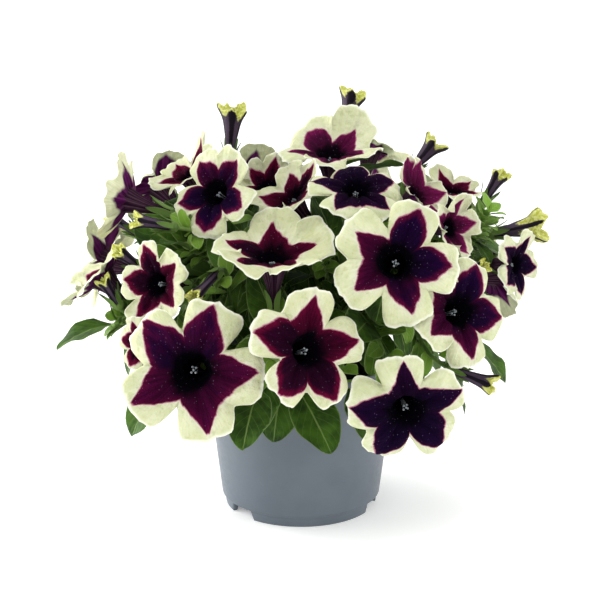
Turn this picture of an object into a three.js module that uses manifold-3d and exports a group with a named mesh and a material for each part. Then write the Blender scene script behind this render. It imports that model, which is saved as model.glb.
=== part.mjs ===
// A petunia in full bloom in a round nursery pot, in millimetres, +Z up, standing on z = 0.
// The pot holds a root ball of potting soil. Leafy stems rise from plain holes in the soil and
// arch outwards. Each flower is a funnel with five lobes, seated in the green calyx at the end
// of its stalk. The stalks, calyces and leaves of a stem are one body with it.
// The front is -Y. An azimuth is counted from the front towards +X, in degrees.
import * as THREE from "three";
import { mergeVertices } from "three/addons/utils/BufferGeometryUtils.js";
import Module from "manifold-3d";

const wasm = await Module();
wasm.setup();
const { Manifold, Mesh } = wasm;

// Driving dimensions
const GAP = 0.3;
const POT = {
  height: 92, rimRadius: 60, rimDrop: 7, footRadius: 45, footInner: 42, shoulderHeight: 6.4,
  shoulderRadius: 47, wallTopRadius: 56.4, wall: 1.5, underside: 4, floor: 1.8, bevel: 3, sides: 36,
};
const NOTCH = { azimuths: [-50, 70, 190], halfAngleLow: 12, halfAngleHigh: 9, height: 6.2, depth: 7 };
const SOIL = { edgeHeight: 79, topHeight: 83, rings: 2, holeDepth: 60, holeSides: 8 };
const STEM = { bottom: 60, top: 86, baseRadius: 2.4, tipRadius: 1.3, sides: 5, steps: 5 };
const STALK = { baseRadius: 1.25, tipRadius: 1.05, sides: 4, steps: 3 };
const LEAF = {
  spacing: 21, first: 20, last: 14, lengthLow: 47, lengthHigh: 36, endLength: 41, widthShare: 0.58,
  thickness: 1.3, root: 1, fold: 0.2, droop: 0.3, turn: 137.5, clear: 4.4, ownClear: 3.6,
};
const CALYX = { foot: 3.2, footRadius: 3.3, bore: 2.95, notchRadius: 3.9, notchHeight: 4,
  tipRadius: 6.6, tipHeight: 12 };
const FUNNEL = { lengthLeast: 14, lengthPerRadius: 0.55, baseRadius: 2, throatShare: 0.2, limbThickness: 1.1 };

// Holes in the soil: azimuth and radius of each stem's foot
const STEMS = {
  front: [-6, 22], front_right: [34, 22], right: [80, 22], right_back: [122, 22],
  back: [166, 22], back_left: [212, 22], left: [-98, 22], front_left: [-46, 22],
  top_front: [0, 8], top_right: [90, 8], top_back: [180, 8], top_left: [-90, 8],
};

// Flowers: mouth centre, facing azimuth and elevation, width over the lobes, cup (how far the
// rim stands before the mouth, as a share of the radius), hood (how far the upper lobes bend
// forward), roll, the stem, and how far up the stem's main way its stalk forks off. A stem's
// own flower has no fork.
const BLOOMS = {
  front_left: [-56, -118, 118, -8, 13, 74, -0.04, 0.1, 21, "front_left"],
  front_low: [4, -121, 130, 32, 21, 62, 0.06, 0, 13, "front"],
  front_right: [48.5, -100, 171, -2, 24, 66, 0.02, 0.05, 22, "front_right"],
  left_high: [-98, -20, 187, -98, 16, 50, 0.3, 0.1, 10, "left"],
  right_side: [121, -30, 152, 55, 6, 40, 0.15, 0, 30, "right"],
  right_back: [118, 48, 128, 112, 8, 58, 0, 0.1, 5, "right_back"],
  back_low: [10, 134, 124, 175, 12, 64, 0, 0, 40, "back"],
  back_left_low: [-70, 108, 126, 212, 14, 64, 0.04, 0.1, 18, "back_left"],
  top_dark: [30, -45, 199, 8, 65, 53, -0.12, 0, 0, "top_front"],
  top_right: [87, 10, 187, 35, 78, 37, 0.12, 0.2, 8, "top_right"],
  top_back: [43, 82, 198, 150, 66, 50, 0.05, 0.1, 30, "top_back"],
  top_left: [-65, 4, 197, -70, 60, 44, 0.2, 0.4, 50, "top_left"],
  front_hanging: [55, -116, 95, 10, -12, 62, 0, -0.2, -10, "front_right", 0.4],
  right_low: [83, -91, 142, 32, 20, 59, 0.1, 0, 35, "front_right", 0.5],
  front_up: [-15, -76, 169, -4, 80, 66, 0.15, 0.3, 0, "front", 0.35],
  left_upper: [-47, -43, 196, -34, 28, 52, 0.1, 0.15, 32, "top_front", 0.45],
  left_side: [-112, -34, 147, -95, 44, 54, 0.25, 0.1, 22, "left", 0.5],
  left_low: [-77, -76, 153, -34, 14, 46, 0.15, 0.1, 48, "front_left", 0.45],
  left_behind: [-86, -84, 122, -34, 4, 30, 0.1, 0, 60, "front_left", 0.55],
  top_middle: [-20, 15, 188, -20, 64, 36, 0.3, 0.4, 12, "top_left", 0.5],
  top_crown: [17, 15, 208, -6, 80, 62, 0.12, 0.45, 36, "top_back", 0.5],
  top_trumpet: [-6, -20, 189, -62, 52, 47, 0.35, 0.1, 24, "top_front", 0.6],
  top_magenta: [65, -22, 191, 62, 38, 40, 0.35, 0.1, 44, "top_right", 0.5],
  right_wilting: [81, -47, 177, 52, 12, 36, 0.5, 0, 16, "top_right", 0.35],
  right_back_low: [80, 98, 112, 141, 6, 60, 0.02, 0.1, 25, "right_back", 0.5],
  right_back_high: [92, 48, 168, 125, 34, 54, 0.08, 0, 55, "right_back", 0.55],
  back_high: [55, 94, 160, 150, 26, 58, 0.05, 0.1, 12, "back", 0.5],
  back_left_high: [-34, 88, 176, 196, 38, 60, 0.03, 0, 62, "top_back", 0.35],
  left_back: [-120.5, 42, 136, 252, 10, 58, 0.05, 0.1, 35, "back_left", 0.45],
  left_back_high: [-86, 48, 182, 232, 36, 52, 0.1, 0, 6, "top_left", 0.35],
};

// Buds, from shut to half open: tip, facing azimuth and elevation, length, mouth radius, stem, fork
const BUDS = {
  bud_left_tall: [-39, 22, 233, 40, 82, 31, 8.8, "top_left", 0.7],
  bud_top: [32, 53, 238, 92, 74, 29, 9, "top_back", 0.6],
  bud_right_top: [80, 30, 212, 85, 50, 25, 7.5, "top_right", 0.7],
  bud_right_high: [116, 10, 197, 75, 60, 22, 6, "top_right", 0.6],
  bud_left_a: [-108, -58, 151, -60, 60, 18, 4.4, "left", 0.6],
  bud_left_b: [-99, -62, 168, -60, 40, 20, 5, "left", 0.65],
  bud_left_c: [-90, -58, 184, -75, 14, 22, 5, "left", 0.7],
  bud_right_opening: [137.5, -12, 171, 84, 12, 30, 10, "right", 0.55],
  bud_right_low: [106, -64, 92, 65, -14, 26, 6, "right", 0.4],
  bud_wilted: [-56, -94, 150, -25, -15, 28, 4.2, "front_left", 0.5],
  bud_right_small: [101, -50, 157, 40, 24, 18, 4, "right", 0.7],
  bud_back: [30, 118, 154, 165, 40, 24, 5, "back", 0.7],
  bud_back_left: [-84, 92, 164, 215, 45, 24, 5.5, "back_left", 0.7],
  bud_left_back: [-112, 8, 172, 262, 30, 22, 4.4, "left", 0.7],
};

// Leafy shoots without a flower, each ending in a leaf: root of that leaf, its azimuth and
// elevation, stem, fork, and where its leaves are small, their size as a share of the usual one
const SHOOTS = {
  front_skirt: [-4, -68, 96, 36, -40, "front", 0.3],
  front_fill: [-22, -84, 98, -14, -25, "front", 0.4],
  front_left_skirt: [-36, -62, 88, -30, -42, "front_left", 0.3],
  front_left_fill: [-70, -62, 100, -50, -20, "front_left", 0.4],
  left_pair: [-100, -46, 122, -72, -4, "left", 0.4],
  left_skirt: [-74, -26, 100, -80, -30, "left", 0.3],
  front_right_skirt: [24, -70, 94, 44, -34, "front_right", 0.28],
  right_fill: [90, -36, 112, 72, -34, "right", 0.4],
  right_rosette: [104, -25, 180, 70, 70, "right", 0.45, 0.55],
  middle_rosette: [10, -52, 168, 20, 75, "top_front", 0.5, 0.42],
  right_skirt: [76, -18, 96, 84, -30, "right", 0.3],
  right_back_skirt: [60, 42, 94, 118, -38, "right_back", 0.28],
  back_skirt: [24, 68, 94, 162, -42, "back", 0.28],
  back_left_skirt: [-30, 68, 94, 202, -42, "back_left", 0.28],
  left_back_skirt: [-72, 26, 94, 250, -34, "back_left", 0.38],
  left_high_shoot: [-60, -46, 164, -50, 30, "left", 0.5, 0.6],
  top_right_shoot: [62, 60, 176, 120, 40, "top_right", 0.4, 0.6],
};

// Small helpers
const rad = (degrees) => degrees * Math.PI / 180;
const vec = (x, y, z) => new THREE.Vector3(x, y, z);
const along = (origin, direction, distance) => origin.clone().addScaledVector(direction, distance);
const round = (azimuth, radius, z) => vec(radius * Math.sin(rad(azimuth)), -radius * Math.cos(rad(azimuth)), z);

function facing(azimuth, elevation) {
  return vec(
    Math.sin(rad(azimuth)) * Math.cos(rad(elevation)),
    -Math.cos(rad(azimuth)) * Math.cos(rad(elevation)),
    Math.sin(rad(elevation)),
  );
}

// A repeatable draw between 0 and 1 for any whole number
function draw(number) {
  const value = Math.sin(number * 12.9898 + 78.233) * 43758.5453;
  return value - Math.floor(value);
}

// Two axes square to a direction: one as upright as possible, one level
function axes(direction) {
  const upright = Math.abs(direction.z) > 0.99 ? vec(0, -1, 0) : vec(0, 0, 1);
  const level = vec().crossVectors(upright, direction).normalize();
  return { level, raised: vec().crossVectors(direction, level).normalize() };
}

// A closed solid from corner points and triangles
function solid(points, triangles) {
  return new Manifold(new Mesh({
    numProp: 3,
    vertProperties: Float32Array.from(points.flatMap((point) => [point.x, point.y, point.z])),
    triVerts: Uint32Array.from(triangles.flat()),
  }));
}

// A three.js geometry as a solid, its seams merged and its folded triangles on the axis dropped
function fromGeometry(geometry) {
  geometry.deleteAttribute("normal");
  geometry.deleteAttribute("uv");
  const merged = mergeVertices(geometry, 1e-4);
  const place = merged.getAttribute("position");
  const points = Array.from({ length: place.count }, (_, i) => vec().fromBufferAttribute(place, i));
  const triangles = [];
  for (let i = 0; i < merged.index.count; i += 3) {
    const corners = [0, 1, 2].map((k) => merged.index.getX(i + k));
    if (new Set(corners).size === 3) triangles.push(corners);
  }
  return solid(points, triangles);
}

// A profile of [radius, height] corners turned round the upright axis
function turned(profile, sides) {
  const points = profile.map(([radius, height]) => new THREE.Vector2(radius, height));
  return fromGeometry(new THREE.LatheGeometry(points, sides).rotateX(Math.PI / 2));
}

// Triangles between two rings of point numbers; the upper ring may have several times as many
function belt(lower, upper) {
  const ratio = upper.length / lower.length;
  const middle = Math.floor(ratio / 2);
  return lower.flatMap((under, i) => {
    const after = lower[(i + 1) % lower.length];
    const edge = Array.from({ length: ratio + 1 }, (_, k) => upper[(i * ratio + k) % upper.length]);
    return [
      ...edge.slice(0, middle).map((point, k) => [under, edge[k + 1], point]),
      [under, after, edge[middle]],
      ...edge.slice(middle, -1).map((point, k) => [after, edge[middle + k + 1], point]),
    ];
  });
}

const flipped = (triangles) => triangles.map(([a, b, c]) => [a, c, b]);
const fan = (centre, ring) => ring.map((point, i) => [centre, point, ring[(i + 1) % ring.length]]);

// Layout of the plant
// A way is a cubic curve from a start, leaving along one direction, to an end, arriving along
// another.
function makeWay(start, leave, end, arrive) {
  const reach = start.distanceTo(end);
  return new THREE.CubicBezierCurve3(
    start, along(start, leave, 0.42 * reach), along(end, arrive, -0.32 * reach), end,
  );
}

function flowerFrame([x, y, z, azimuth, elevation, width, cup, hood, roll]) {
  const forward = facing(azimuth, elevation);
  const radius = width / 2;
  const length = FUNNEL.lengthLeast + FUNNEL.lengthPerRadius * radius;
  const mouth = vec(x, y, z);
  return { mouth, forward, radius, cup, hood, roll, length, foot: along(mouth, forward, -length) };
}

function budFrame([x, y, z, azimuth, elevation, length, mouth]) {
  const forward = facing(azimuth, elevation);
  const tip = vec(x, y, z);
  return { tip, forward, length, mouth, foot: along(tip, forward, -length) };
}

// All the ways of a stem: its own, up from the soil, and the stalks and shoots that fork off it
function waysOf(stem) {
  const foot = round(STEMS[stem][0], STEMS[stem][1], STEM.top);
  const ends = [];
  for (const plan of Object.values(BLOOMS)) {
    if (plan[9] === stem) {
      const flower = flowerFrame(plan);
      ends.push({ end: along(flower.foot, flower.forward, -2), arrive: flower.forward, fork: plan[10] ?? 0 });
    }
  }
  for (const plan of Object.values(BUDS)) {
    if (plan[7] === stem) {
      const bud = budFrame(plan);
      ends.push({ end: along(bud.foot, bud.forward, -2), arrive: bud.forward, fork: plan[8] });
    }
  }
  for (const [x, y, z, azimuth, elevation, owner, fork, shoot = 1] of Object.values(SHOOTS)) {
    if (owner === stem) {
      ends.push({ end: vec(x, y, z), arrive: facing(azimuth, elevation), fork, shoot });
    }
  }
  const own = ends.find((entry) => entry.fork === 0);
  const main = makeWay(foot, vec(0, 0, 1), own.end, own.arrive);
  const ways = [{ curve: main, form: STEM, main: true }];
  for (const entry of ends.filter((other) => other !== own)) {
    const start = onTube(ways[0], entry.fork);
    const leave = main.getTangent(entry.fork).add(entry.end.clone().sub(start).normalize()).normalize();
    ways.push({ curve: makeWay(start, leave, entry.end, entry.arrive), form: STALK, shoot: entry.shoot });
  }
  return ways;
}

// The axis of a way's tube, which runs straight between the points of its steps
function onTube(way, t) {
  const step = Math.min(Math.floor(t * way.form.steps), way.form.steps - 1);
  const start = way.curve.getPoint(step / way.form.steps);
  return start.lerp(way.curve.getPoint((step + 1) / way.form.steps), t * way.form.steps - step);
}

// The outline radius of a flower at an angle from a lobe's midrib, as a share of the full
// radius: round shoulders beside the midrib, and between two lobes a narrow cleft, each as
// deep as its own draw says
function lobeShare(flower, angle) {
  const fromMidrib = 36 - Math.abs(Math.abs(angle % 72) - 36);
  const shoulder = Math.exp(-(((fromMidrib - 20) / 9) ** 2));
  const cleft = Math.exp(-(((36 - fromMidrib) / 8) ** 2));
  const depth = 0.36 + 0.13 * Math.sin(2.7 * Math.floor(angle / 72) + flower.roll);
  return 1 + 0.05 * shoulder - depth * cleft;
}

// A point of a flower: angle around the axis in degrees, share of the way from axis to rim
function flowerPoint(flower, angle, share) {
  const { level, raised } = axes(flower.forward);
  const turned = rad(angle + flower.roll);
  const radius = flower.radius * share * (1 + (lobeShare(flower, angle) - 1) * share ** 2);
  const flare = flower.cup * share ** 3 - 0.13 * (1 - share) ** 2;
  const waves = 0.045 * Math.cos(rad(5 * angle)) + 0.07 * Math.sin(rad(2 * angle + 3 * flower.roll))
    + 0.06 * Math.sin(rad(3 * angle + 5 * flower.roll + 40));
  const hood = flower.hood * Math.max(Math.cos(turned), 0) ** 1.5;
  const height = flower.radius * (flare + (waves + hood) * share ** 2);
  return along(flower.mouth, flower.forward, height)
    .addScaledVector(level, radius * Math.sin(turned))
    .addScaledVector(raised, radius * Math.cos(turned));
}

// Places that a leaf keeps clear of: [point, radius, stem]
function obstacles() {
  const list = [];
  for (const plan of Object.values(BLOOMS)) {
    const flower = flowerFrame(plan);
    for (const share of [0.3, 0.5, 0.7, 0.85, 1]) {
      const count = Math.round(6 + 16 * share);
      for (let i = 0; i < count; i += 1) {
        list.push([flowerPoint(flower, (360 * i) / count, share), 0.6, ""]);
      }
    }
    for (let i = 0; i <= 5; i += 1) {
      list.push([along(flower.foot, flower.forward, (flower.length * i) / 6), 3 + 0.5 * i, ""]);
    }
  }
  for (const plan of Object.values(BUDS)) {
    const bud = budFrame(plan);
    for (let i = 0; i <= 4; i += 1) {
      list.push([along(bud.foot, bud.forward, (bud.length * i) / 4), 2.4 + (0.2 * bud.mouth * i), ""]);
    }
  }
  for (const stem of Object.keys(STEMS)) {
    for (const way of waysOf(stem)) {
      for (const point of way.curve.getPoints(16)) list.push([point, 1.5, stem]);
    }
  }
  return list;
}

function leafFrame(origin, tangent, azimuth, lift, length) {
  const { level, raised } = axes(tangent);
  const side = level.multiplyScalar(Math.sin(rad(azimuth))).addScaledVector(raised, Math.cos(rad(azimuth)));
  const outward = vec(origin.x, origin.y, 0).normalize();
  const direction = azimuth === null
    ? tangent.clone().multiplyScalar(2).addScaledVector(outward, lift)
    : side.addScaledVector(tangent, 0.45).addScaledVector(outward, 0.5);
  direction.z += lift;
  direction.normalize();
  const up = tangent.clone().multiplyScalar(0.4).add(vec(0, 0, 0.9)).addScaledVector(outward, 0.45);
  const normal = up.addScaledVector(direction, -up.dot(direction)).normalize();
  const across = vec().crossVectors(direction, normal);
  return { origin, direction, normal, across, length };
}

// Half the blade's width at a share of its length, as a share of the full half width
function bladeShare(share) {
  return Math.sin(Math.PI * share ** 1.15) ** 0.55;
}

// A point of a leaf: share of the length, and -1 to 1 across the blade
function leafPoint(leaf, share, across) {
  const half = 0.5 * LEAF.widthShare * leaf.length * (share < 0.999 ? bladeShare(share) : 0);
  const rise = leaf.length * (0.12 * share - LEAF.droop * share * share) + LEAF.fold * half * Math.abs(across);
  return along(leaf.origin, leaf.direction, leaf.length * (0.06 + 0.94 * share))
    .addScaledVector(leaf.normal, rise)
    .addScaledVector(leaf.across, half * across);
}

function clearance(leaf, stem, list) {
  let least = Infinity;
  for (const [share, across] of SAMPLES) {
    const point = leafPoint(leaf, share, across);
    const overPot = Math.hypot(Math.max(Math.hypot(point.x, point.y) - POT.rimRadius, 0), Math.max(point.z - POT.height, 0));
    least = Math.min(least, overPot + 2);
    for (const [place, radius, owner] of list) {
      const spare = owner === stem ? LEAF.clear - LEAF.ownClear : 0;
      least = Math.min(least, point.distanceTo(place) - radius + spare);
    }
    if (least < LEAF.clear) return least;
  }
  return least;
}

// Leaves stand along each way, each turned on from the one before. A leaf that would touch
// something is turned aside by steps, then made smaller, and left out where nothing is free.
function leavesOf(list) {
  const leaves = {};
  let number = 0;
  for (const stem of Object.keys(STEMS)) {
    leaves[stem] = [];
    for (const way of waysOf(stem)) {
      for (const { t, size } of stations(way)) {
        number += 1;
        const start = LEAF.turn * number + 40 * draw(number + 500);
        const frames = TRIES.map(([shrink, turn, lift]) => () => leafFrame(
          onTube(way, t), way.curve.getTangent(t), t > 0.97 ? null : start + turn, lift,
          shrink * size * (0.85 + 0.3 * draw(number)),
        ));
        const placed = firstClear(frames, stem, list);
        if (placed) {
          leaves[stem].push(placed);
          for (const [share, across] of SAMPLES) list.push([leafPoint(placed, share, across), 0.4, stem]);
        }
      }
    }
  }
  return leaves;
}

function firstClear(frames, stem, list) {
  for (const frame of frames) {
    const leaf = frame();
    if (clearance(leaf, stem, list) >= LEAF.clear) return leaf;
  }
  return null;
}

// Where leaves stand on a way and how long they are; a shoot's last leaf stands on its very end
function stations(way) {
  const length = way.curve.getLength();
  const scale = way.shoot ?? 1;
  const list = way.shoot ? [{ t: 0.98, size: scale * LEAF.endLength }] : [];
  for (let s = LEAF.first; s <= length - LEAF.last; s += LEAF.spacing) {
    const usual = LEAF.lengthLow + (LEAF.lengthHigh - LEAF.lengthLow) * (s / length);
    list.push({ t: s / length, size: scale * usual });
  }
  return list;
}
const TRIES = [1, 0.8, 0.6].flatMap((shrink) => [0, 0.5, -0.5].flatMap((lift) => (
  [0, 30, -30, 60, -60, 90, -90, 120, -120, 150, -150, 180].map((turn) => [shrink, turn, lift]))));
const SAMPLES = [0.25, 0.45, 0.65, 0.85].flatMap((share) => [-1, -0.5, 0, 0.5, 1].map((across) => [share, across]));
SAMPLES.push([1, 0]);

// Solids
// A tapering tube along points
function tube(points, radii, sides) {
  const rings = [];
  const corners = [];
  let { level, raised } = axes(points[1].clone().sub(points[0]).normalize());
  points.forEach((point, i) => {
    const before = points[Math.max(i - 1, 0)];
    const after = points[Math.min(i + 1, points.length - 1)];
    const tangent = after.clone().sub(before).normalize();
    level = level.clone().addScaledVector(tangent, -level.dot(tangent)).normalize();
    raised = vec().crossVectors(tangent, level);
    const ring = [];
    for (let k = 0; k < sides; k += 1) {
      const angle = (2 * Math.PI * k) / sides;
      ring.push(corners.length);
      corners.push(point.clone()
        .addScaledVector(level, radii[i] * Math.cos(angle))
        .addScaledVector(raised, radii[i] * Math.sin(angle)));
    }
    rings.push(ring);
  });
  const triangles = [];
  for (let i = 0; i + 1 < rings.length; i += 1) triangles.push(...belt(rings[i], rings[i + 1]));
  const first = rings[0];
  const last = rings[rings.length - 1];
  for (let k = 1; k + 1 < sides; k += 1) {
    triangles.push([first[0], first[k + 1], first[k]], [last[0], last[k], last[k + 1]]);
  }
  return solid(corners, triangles);
}

function wayTube(way, foot) {
  const { form } = way;
  const points = way.curve.getPoints(form.steps);
  const radii = points.map((_, i) => form.baseRadius + (form.tipRadius - form.baseRadius) * (i / form.steps));
  if (way.main) {
    points.unshift(foot);
    radii.unshift(form.baseRadius);
  }
  return tube(points, radii, form.sides);
}

// A blade folded along its midrib, thickest there and thin at the edge, its root sunk in the stem
function leafSolid(leaf) {
  const corners = [along(leaf.origin, leaf.direction, -LEAF.root), leafPoint(leaf, 1, 0)];
  const rings = [0.35, 0.8].map((share) => {
    const middle = leafPoint(leaf, share, 0);
    corners.push(
      leafPoint(leaf, share, -1), along(middle, leaf.normal, -LEAF.thickness / 2),
      leafPoint(leaf, share, 1), along(middle, leaf.normal, LEAF.thickness / 2),
    );
    return [0, 1, 2, 3].map((i) => corners.length - 4 + i);
  });
  return solid(corners, [
    ...fan(0, rings[0]), ...flipped(belt(rings[0], rings[1])), ...flipped(fan(1, rings[1])),
  ]);
}

// A point at a height along an axis from a foot, and at an angle and radius around it
function aroundAxis(foot, forward, angle, radius, height) {
  const { level, raised } = axes(forward);
  return along(foot, forward, height)
    .addScaledVector(level, radius * Math.sin(rad(angle)))
    .addScaledVector(raised, radius * Math.cos(rad(angle)));
}

// Five pointed sepals round a socket for the foot of a flower or bud
function calyxSolid(foot, forward, roll, size) {
  const corners = [];
  const ring = (count, place) => Array.from({ length: count }, (_, i) => {
    const angle = roll + (360 * i) / count;
    const [radius, height] = place(i);
    corners.push(aroundAxis(foot, forward, angle, radius, height));
    return corners.length - 1;
  });
  const base = ring(5, () => [CALYX.footRadius, -CALYX.foot]);
  const crown = ring(10, (i) => (i % 2 === 0
    ? [CALYX.tipRadius * size, CALYX.tipHeight * size]
    : [CALYX.notchRadius, CALYX.notchHeight * size]));
  const bore = ring(5, () => [CALYX.bore, -0.35]);
  const triangles = [...belt(base, crown), ...flipped(belt(bore, crown))];
  for (const [i, j] of [[1, 2], [2, 3], [3, 4]]) {
    triangles.push([base[0], base[j], base[i]], [bore[0], bore[i], bore[j]]);
  }
  return solid(corners, flipped(triangles));
}

function bloomSolid(flower) {
  const corners = [];
  const push = (point) => corners.push(point) - 1;
  const { forward, foot, length, radius } = flower;
  const tubeRing = (share, tubeRadius, count = 10) => Array.from({ length: count }, (_, i) => (
    push(aroundAxis(foot, forward, flower.roll + (360 / count) * i, tubeRadius, length * share))));
  const limbRing = (share, lift, count) => Array.from({ length: count }, (_, i) => (
    push(along(flowerPoint(flower, (360 / count) * i, share), forward, lift))));
  const base = tubeRing(0, FUNNEL.baseRadius, 5);
  const neck = tubeRing(0.45, 0.09 * radius + 0.6);
  const throat = tubeRing(0.78, FUNNEL.throatShare * radius);
  const under = limbRing(0.6, -FUNNEL.limbThickness / 2, 10);
  const rim = limbRing(1, 0, 30);
  const over = limbRing(0.6, FUNNEL.limbThickness / 2, 10);
  const inside = tubeRing(0.84, FUNNEL.throatShare * radius - 1);
  const bottom = push(along(foot, forward, 0.5 * length));
  const triangles = [
    ...belt(base, neck), ...belt(neck, throat), ...belt(throat, under), ...belt(under, rim),
    ...flipped(belt(over, rim)), ...flipped(belt(inside, over)), ...fan(bottom, inside),
  ];
  for (let k = 1; k < 4; k += 1) triangles.push([base[0], base[k + 1], base[k]]);
  return solid(corners, flipped(triangles));
}

function budSolid(bud, roll) {
  const corners = [];
  const { foot, forward, length, mouth } = bud;
  const ring = (count, place) => Array.from({ length: count }, (_, i) => {
    const [share, radius] = place(i);
    corners.push(aroundAxis(foot, forward, roll + (360 / count) * i, radius, length * share));
    return corners.length - 1;
  });
  const base = ring(5, () => [0, FUNNEL.baseRadius]);
  const waist = ring(10, () => [0.45, 0.35 * mouth + 1.1]);
  const crown = ring(10, (i) => (i % 2 === 0 ? [0.97, mouth] : [0.82, 0.82 * mouth]));
  corners.push(along(foot, forward, 0.86 * length));
  const triangles = [
    ...belt(base, waist), ...belt(waist, crown), ...fan(corners.length - 1, crown),
  ];
  for (let k = 1; k < 4; k += 1) triangles.push([base[0], base[k + 1], base[k]]);
  return solid(corners, flipped(triangles));
}

// How much the pot's wall leans outwards for each millimetre of height
const wallSlope = (POT.wallTopRadius - POT.shoulderRadius) / (POT.height - POT.rimDrop - POT.shoulderHeight);

// A block with leaning sides, which cuts one drainage notch out of the pot's foot
function notchCutter(azimuth) {
  const halfLow = POT.footRadius * Math.sin(rad(NOTCH.halfAngleLow));
  const halfHigh = POT.footRadius * Math.sin(rad(NOTCH.halfAngleHigh));
  const outline = new THREE.Shape([
    new THREE.Vector2(-halfLow, -1), new THREE.Vector2(halfLow, -1),
    new THREE.Vector2(halfHigh, NOTCH.height), new THREE.Vector2(-halfHigh, NOTCH.height),
  ]);
  const block = new THREE.ExtrudeGeometry(outline, { depth: NOTCH.depth + 4, bevelEnabled: false });
  block.rotateX(Math.PI / 2).translate(0, -POT.footRadius + NOTCH.depth, 0).rotateZ(rad(azimuth));
  return fromGeometry(block);
}

function potSolid() {
  const floorTop = POT.underside + POT.floor;
  const pot = turned([
    [0, POT.underside], [POT.footInner - 1, POT.underside], [POT.footInner, 0], [POT.footRadius, 0],
    [POT.footRadius + 0.6, POT.shoulderHeight - 0.4], [POT.shoulderRadius, POT.shoulderHeight],
    [POT.wallTopRadius, POT.height - POT.rimDrop], [POT.rimRadius, POT.height - POT.rimDrop + 0.6],
    [POT.rimRadius, POT.height], [POT.rimRadius - POT.wall, POT.height],
    [POT.wallTopRadius - POT.wall, POT.height - POT.rimDrop],
    [POT.shoulderRadius - POT.wall + wallSlope * POT.bevel, POT.shoulderHeight + POT.bevel],
    [POT.footRadius - POT.bevel / 2, floorTop], [0, floorTop],
  ], POT.sides);
  return pot.subtract(Manifold.union(NOTCH.azimuths.map(notchCutter)));
}

function soilSolid() {
  const inner = (z) => POT.shoulderRadius - POT.wall + wallSlope * (z - POT.shoulderHeight) - GAP;
  const bottom = POT.underside + POT.floor + GAP;
  const profile = [
    [0, bottom], [POT.footRadius - POT.bevel / 2 - 2 * GAP, bottom],
    [inner(POT.shoulderHeight + POT.bevel) - GAP, POT.shoulderHeight + POT.bevel + GAP],
    [inner(SOIL.edgeHeight), SOIL.edgeHeight],
  ];
  for (let i = SOIL.rings; i >= 0; i -= 1) {
    const share = i / (SOIL.rings + 1);
    const sunk = (SOIL.topHeight - SOIL.edgeHeight) * share * share;
    profile.push([inner(SOIL.edgeHeight) * share, SOIL.topHeight - sunk]);
  }
  const wide = (STEM.baseRadius + GAP) / Math.cos(Math.PI / SOIL.holeSides);
  const holes = Object.values(STEMS).map(([azimuth, radius]) => {
    const middle = round(azimuth, radius, STEM.bottom - GAP + SOIL.holeDepth / 2);
    const hole = new THREE.CylinderGeometry(wide, wide, SOIL.holeDepth, SOIL.holeSides);
    return fromGeometry(hole.rotateX(Math.PI / 2).translate(...middle.toArray()));
  });
  return turned(profile, POT.sides).subtract(Manifold.union(holes));
}

// Assembly
const PAINT = {
  pot: [0x7a838c, 0.55], soil: [0x3a2c20, 0.95], stem: [0x4a6b34, 0.75],
  bloom: [0x4a1250, 0.7], bud: [0x3a1440, 0.7],
};

function mesh(name, shape, [colour, roughness]) {
  const { vertProperties, triVerts, numProp } = shape.getMesh();
  const positions = new Float32Array((vertProperties.length / numProp) * 3);
  for (let i = 0; i < positions.length / 3; i += 1) {
    positions.set(vertProperties.subarray(i * numProp, i * numProp + 3), i * 3);
  }
  const geometry = new THREE.BufferGeometry();
  geometry.setAttribute("position", new THREE.BufferAttribute(positions, 3));
  geometry.setIndex(new THREE.BufferAttribute(triVerts.slice(), 1));
  geometry.computeVertexNormals();
  const result = new THREE.Mesh(geometry, new THREE.MeshStandardMaterial({ color: colour, roughness, flatShading: true }));
  result.name = name;
  return result;
}

const plant = new THREE.Group();
plant.add(mesh("pot", potSolid(), PAINT.pot), mesh("soil", soilSolid(), PAINT.soil));

const leaves = leavesOf(obstacles());
for (const stem of Object.keys(STEMS)) {
  const foot = round(STEMS[stem][0], STEMS[stem][1], STEM.bottom);
  const parts = waysOf(stem).map((way) => wayTube(way, foot));
  parts.push(...leaves[stem].map(leafSolid));
  for (const plan of Object.values(BLOOMS)) {
    if (plan[9] === stem) {
      const flower = flowerFrame(plan);
      parts.push(calyxSolid(flower.foot, flower.forward, flower.roll, 1));
    }
  }
  for (const plan of Object.values(BUDS)) {
    if (plan[7] === stem) {
      const bud = budFrame(plan);
      parts.push(calyxSolid(bud.foot, bud.forward, 0, 0.8));
    }
  }
  plant.add(mesh(`stem_${stem}`, Manifold.union(parts).simplify(0.01), PAINT.stem));
}
for (const [name, plan] of Object.entries(BLOOMS)) {
  plant.add(mesh(`bloom_${name}`, bloomSolid(flowerFrame(plan)), PAINT.bloom));
}
for (const [name, plan] of Object.entries(BUDS)) {
  plant.add(mesh(name, budSolid(budFrame(plan), 0), PAINT.bud));
}

export default plant;
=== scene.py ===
# %% [markdown]
# # A petunia in full bloom, in a round nursery pot
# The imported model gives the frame: the pot, the root ball, twelve leafy stems, the flowers and
# the buds, each a coarse solid. This script grows the fine plant in the same places, from the
# same plan and the same rules, and replaces each solid by a piece with the real surface.
# Lengths in the plan are millimetres, as in the part, and `MM` turns them into metres.
# The front is -Y, and an azimuth is counted from the front towards +X, in degrees.

# %% Frame
from functools import partial

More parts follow.
